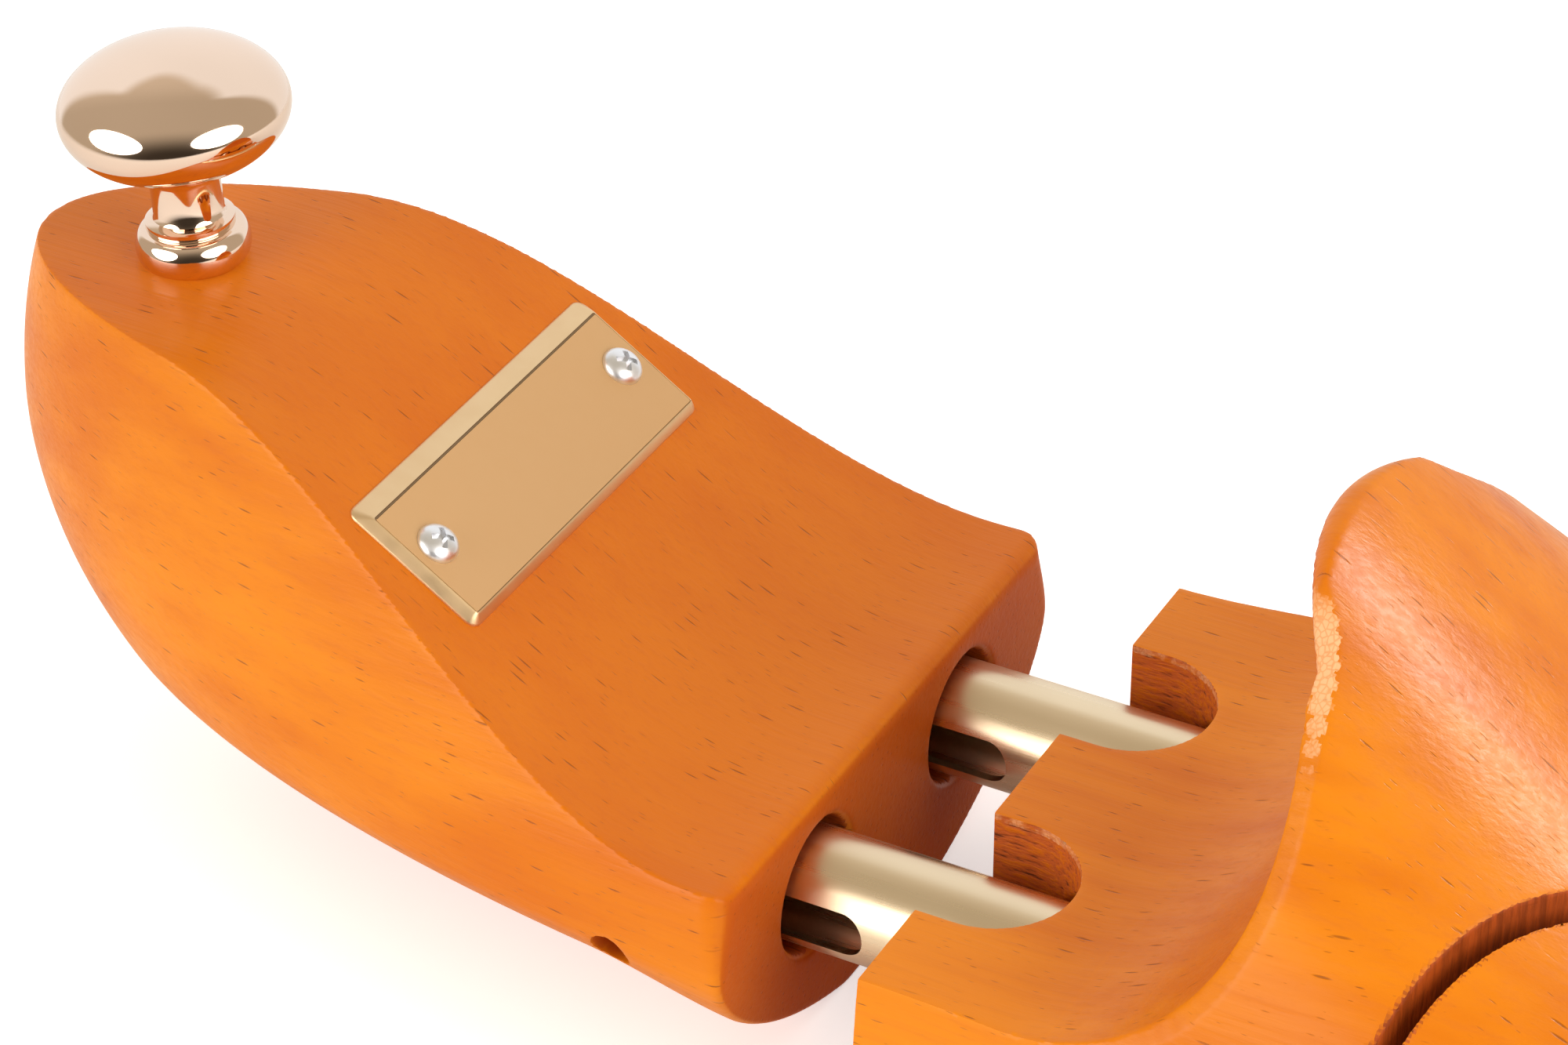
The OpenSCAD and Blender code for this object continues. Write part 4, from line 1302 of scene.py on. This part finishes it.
def coil(radius, wire, length, curls):
    """One unbroken wire that winds round the Z axis from 0 to its length."""
    bm = bmesh.new()
    ring = bmesh.ops.create_circle(bm, segments=12, radius=wire / 2, cap_ends=False)["verts"]
    bmesh.ops.rotate(bm, cent=(0, 0, 0), matrix=Matrix.Rotation(math.pi / 2, 3, "X"), verts=ring)
    bmesh.ops.translate(bm, vec=(radius - wire / 2, 0, wire / 2), verts=ring)
    steps = CURL_STEPS * curls
    bmesh.ops.spin(bm, geom=list(ring) + list(bm.edges), cent=(0, 0, 0), axis=(0, 0, 1),
                   angle=math.tau * curls, steps=steps, dvec=(0, 0, (length - wire) / steps))
    bmesh.ops.holes_fill(bm, edges=bm.edges, sides=0)
    bmesh.ops.recalc_face_normals(bm, faces=bm.faces)
    return bm


class TREE_OT_springs(bpy.types.Operator):
    """Wind the slide springs and the toe springs"""

    bl_idname = "tree.springs"
    bl_label = "Springs"

    def execute(self, context):
        wire = metal("spring_wire", context.scene.tree_colours.steel, 0.28, (500, 500, 500))
        for word in ("left", "right"):
            centre, low, high = middle_of("slide_spring_" + word)
            length = high.x - low.x
            bm = coil((high.y - low.y) / 2, SLIDE_WIRE, length, SLIDE_CURLS)
            bmesh.ops.transform(bm, matrix=along_x(low.x, centre.y, centre.z), verts=bm.verts)
            spring = smooth_shaded(new_piece("slide_coil_" + word, bm), 50)
            settle(spring, "heel", "spring_metal", wire, "slide_spring_" + word)
            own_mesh(spring)
        for word in ("rear", "front"):
            centre, low, high = middle_of("toe_spring_" + word)
            length = high.y - low.y
            bm = coil((high.x - low.x) / 2, TOE_WIRE, length, TOE_CURLS)
            bmesh.ops.transform(bm, matrix=along_y(centre.x, low.y, centre.z), verts=bm.verts)
            spring = smooth_shaded(new_piece("toe_coil_" + word, bm), 50)
            settle(spring, "front", "spring_metal", wire, "toe_spring_" + word)
            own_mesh(spring)
        return {"FINISHED"}


CAMERA_PLACE = (128.7 * MM, -309.1 * MM, 276.3 * MM)
CAMERA_AZIMUTH = 28.05
CAMERA_HEIGHT = 34.19
CAMERA_LENS = 120.6
CAMERA_SENSOR = 36


def towards(azimuth, height):
    """Unit vector to a place at an azimuth, 0 being on the -Y side, and a height, in degrees."""
    a, e = math.radians(azimuth), math.radians(height)
    return Vector((math.sin(a) * math.cos(e), -math.cos(a) * math.cos(e), math.sin(e)))


AIM = Vector((0, 0, 30 * MM))


def softbox(name, azimuth, height, distance, width, tall, power):
    """A soft lamp that faces the middle of the object."""
    lamp = bpy.data.lights.new(name, "AREA")
    lamp.shape = "ELLIPSE"
    lamp.size = width
    lamp.size_y = tall
    lamp.energy = power
    box = bpy.data.objects.new(name, lamp)
    bpy.context.scene.collection.objects.link(box)
    back = towards(azimuth, height)
    box.location = AIM + back * distance
    box.rotation_euler = (-back).to_track_quat("-Z", "Y").to_euler()
    return box


# the backdrop, in degrees: its middle, and where its sides and its top fade out
BACKDROP_AZIMUTH = 203
BACKDROP_SPAN = (62, 50)
BACKDROP_RISE = (46, 56)
# how much higher the backdrop reaches on its right side
BACKDROP_LIFT = 0.13
# height of the room's darkest place, below the camera, in degrees
ROOM_DARKEST = -22
ROOM_BACK = (0.70, 0.61, 0.49, 1)
ROOM_HIGH = (0.54, 0.465, 0.36, 1)
ROOM_NEAR = (0.05, 0.04, 0.03, 1)


def studio_world(scene):
    """A white backdrop behind the object, a dim room and a dark camera side; the camera sees plain white."""
    world = bpy.data.worlds.new("studio")
    scene.world = world
    world.use_nodes = True
    f = Shading(world.node_tree)
    sky = next(n for n in f.tree.nodes if n.type == "BACKGROUND")
    way = f.add("TexCoord").outputs["Generated"]
    x, y, z = f.add("SeparateXYZ", {"Vector": way}).outputs
    behind = towards(BACKDROP_AZIMUTH, 0)
    level = f.math("SQRT", f.math("MAXIMUM", f.math("SUBTRACT", 1.0, f.math("MULTIPLY", z, z)), 0.0001))
    facing = f.math("ADD", f.math("MULTIPLY", x, behind.x), f.math("MULTIPLY", y, behind.y))
    facing = f.math("DIVIDE", facing, level)
    wide = f.ramp(facing, *[math.cos(math.radians(turn)) for turn in BACKDROP_SPAN])
    aside = towards(BACKDROP_AZIMUTH - 90, 0)
    right = f.math("ADD", f.math("MULTIPLY", x, aside.x), f.math("MULTIPLY", y, aside.y))
    height = f.math("SUBTRACT", z, f.ramp(right, -0.3, 0.1, 0.0, BACKDROP_LIFT))
    low = f.ramp(height, *[math.sin(math.radians(turn)) for turn in BACKDROP_RISE], 1.0, 0.0)
    dark = towards(CAMERA_AZIMUTH, ROOM_DARKEST)
    near = f.add("VectorMath", {0: way, 1: dark}, operation="DOT_PRODUCT")
    room = f.mix(f.ramp(near.outputs["Value"], -0.85, -0.45), ROOM_BACK, ROOM_HIGH)
    room = f.mix(f.ramp(near.outputs["Value"], 0.2, 0.95), room, ROOM_NEAR)
    seen = f.add("LightPath").outputs["Is Camera Ray"]
    white = f.math("MAXIMUM", f.math("MULTIPLY", wide, low), seen)
    f.put(sky.inputs["Color"], f.mix(white, room, (1, 1, 1, 1)))
    sky.inputs["Strength"].default_value = 1.0


FLOOR_R = 0.5
FLOOR_SPAN = (0.23, 0.16)


def studio_floor():
    """A pale round table top that fades out some way from the object."""
    bm = bmesh.new()
    bmesh.ops.create_circle(bm, cap_ends=True, segments=128, radius=FLOOR_R)
    floor = new_piece("studio_floor", bm)
    f = Finish("studio_floor")
    place = f.add("TexCoord").outputs["Object"]
    share = f.scaled(place, (1 / FLOOR_SPAN[0], 1 / FLOOR_SPAN[1], 0))
    far = f.add("VectorMath", {0: share}, operation="LENGTH").outputs["Value"]
    shown = f.add("LightPath").outputs["Is Camera Ray"]
    f.shade(Base_Color=(0.86, 0.86, 0.86, 1), Roughness=0.9, Emission_Color=(1, 1, 1, 1),
            Emission_Strength=f.math("MULTIPLY", shown, 0.5), Alpha=f.ramp(far, 1.0, 1.6, 1.0, 0.0))
    floor.data.materials.append(f.material)


class TREE_OT_stage(bpy.types.Operator):
    """Set up the floor, the soft light, the world and the camera"""

    bl_idname = "tree.stage"
    bl_label = "Stage"

    def execute(self, context):
        scene = context.scene
        scene.view_settings.view_transform = "Standard"
        studio_floor()
        studio_world(scene)
        # azimuth and height in degrees, distance, width and height in metres, power in watts
        softbox("left_box", -32.6, 14, 0.87, 0.88, 0.68, 6.2)
        softbox("right_box", 73.2, 21.3, 0.86, 0.92, 0.72, 5.7)
        top = softbox("top_box", 112, 62, 0.6, 0.5, 0.4, 0.85)
        top.visible_glossy = False
        sheen = softbox("dome_box", 127, 46, 0.9, 0.36, 0.24, 7.5)
        sheen.visible_diffuse = False
        flagged = bpy.data.collections.new("dome_box_lights")
        for name in ("front_wood", "side_wood"):
            flagged.objects.link(bpy.data.objects[name])
        sheen.light_linking.receiver_collection = flagged

        camera = bpy.data.cameras.new("camera")
        camera.lens = CAMERA_LENS
        camera.sensor_width = CAMERA_SENSOR
        camera.clip_start = 0.01
        eye = bpy.data.objects.new("camera", camera)
        scene.collection.objects.link(eye)
        eye.location = CAMERA_PLACE
        back = towards(CAMERA_AZIMUTH, CAMERA_HEIGHT)
        eye.rotation_euler = (-back).to_track_quat("-Z", "Y").to_euler()
        scene.camera = eye
        return {"FINISHED"}


class TREE_PT_sidebar(bpy.types.Panel):
    """Lists the steps that build the shoe tree"""

    bl_idname = "TREE_PT_sidebar"
    bl_label = "Shoe Tree"
    bl_space_type = "VIEW_3D"
    bl_region_type = "UI"
    bl_category = "Shoe Tree"

    def draw(self, context):
        for step in STEPS:
            self.layout.operator(step.bl_idname)
        for group in (context.scene.tree_sizes, context.scene.tree_colours):
            for name in group.__annotations__:
                self.layout.prop(group, name)


STEPS = (TREE_OT_heel, TREE_OT_front, TREE_OT_side, TREE_OT_knob, TREE_OT_plate, TREE_OT_tubes, TREE_OT_pins,
         TREE_OT_springs, TREE_OT_stage)
CLASSES = (TreeSizes, TreeColours) + STEPS + (TREE_PT_sidebar,)


def register():
    for item in CLASSES:
        bpy.utils.register_class(item)
    bpy.types.Scene.tree_sizes = PointerProperty(type=TreeSizes)
    bpy.types.Scene.tree_colours = PointerProperty(type=TreeColours)


def unregister():
    del bpy.types.Scene.tree_colours
    del bpy.types.Scene.tree_sizes
    for item in reversed(CLASSES):
        bpy.utils.unregister_class(item)


def main():
    register()
    for step in STEPS:
        group, name = step.bl_idname.split(".")
        getattr(getattr(bpy.ops, group), name)()


if __name__ == "__main__":
    main()
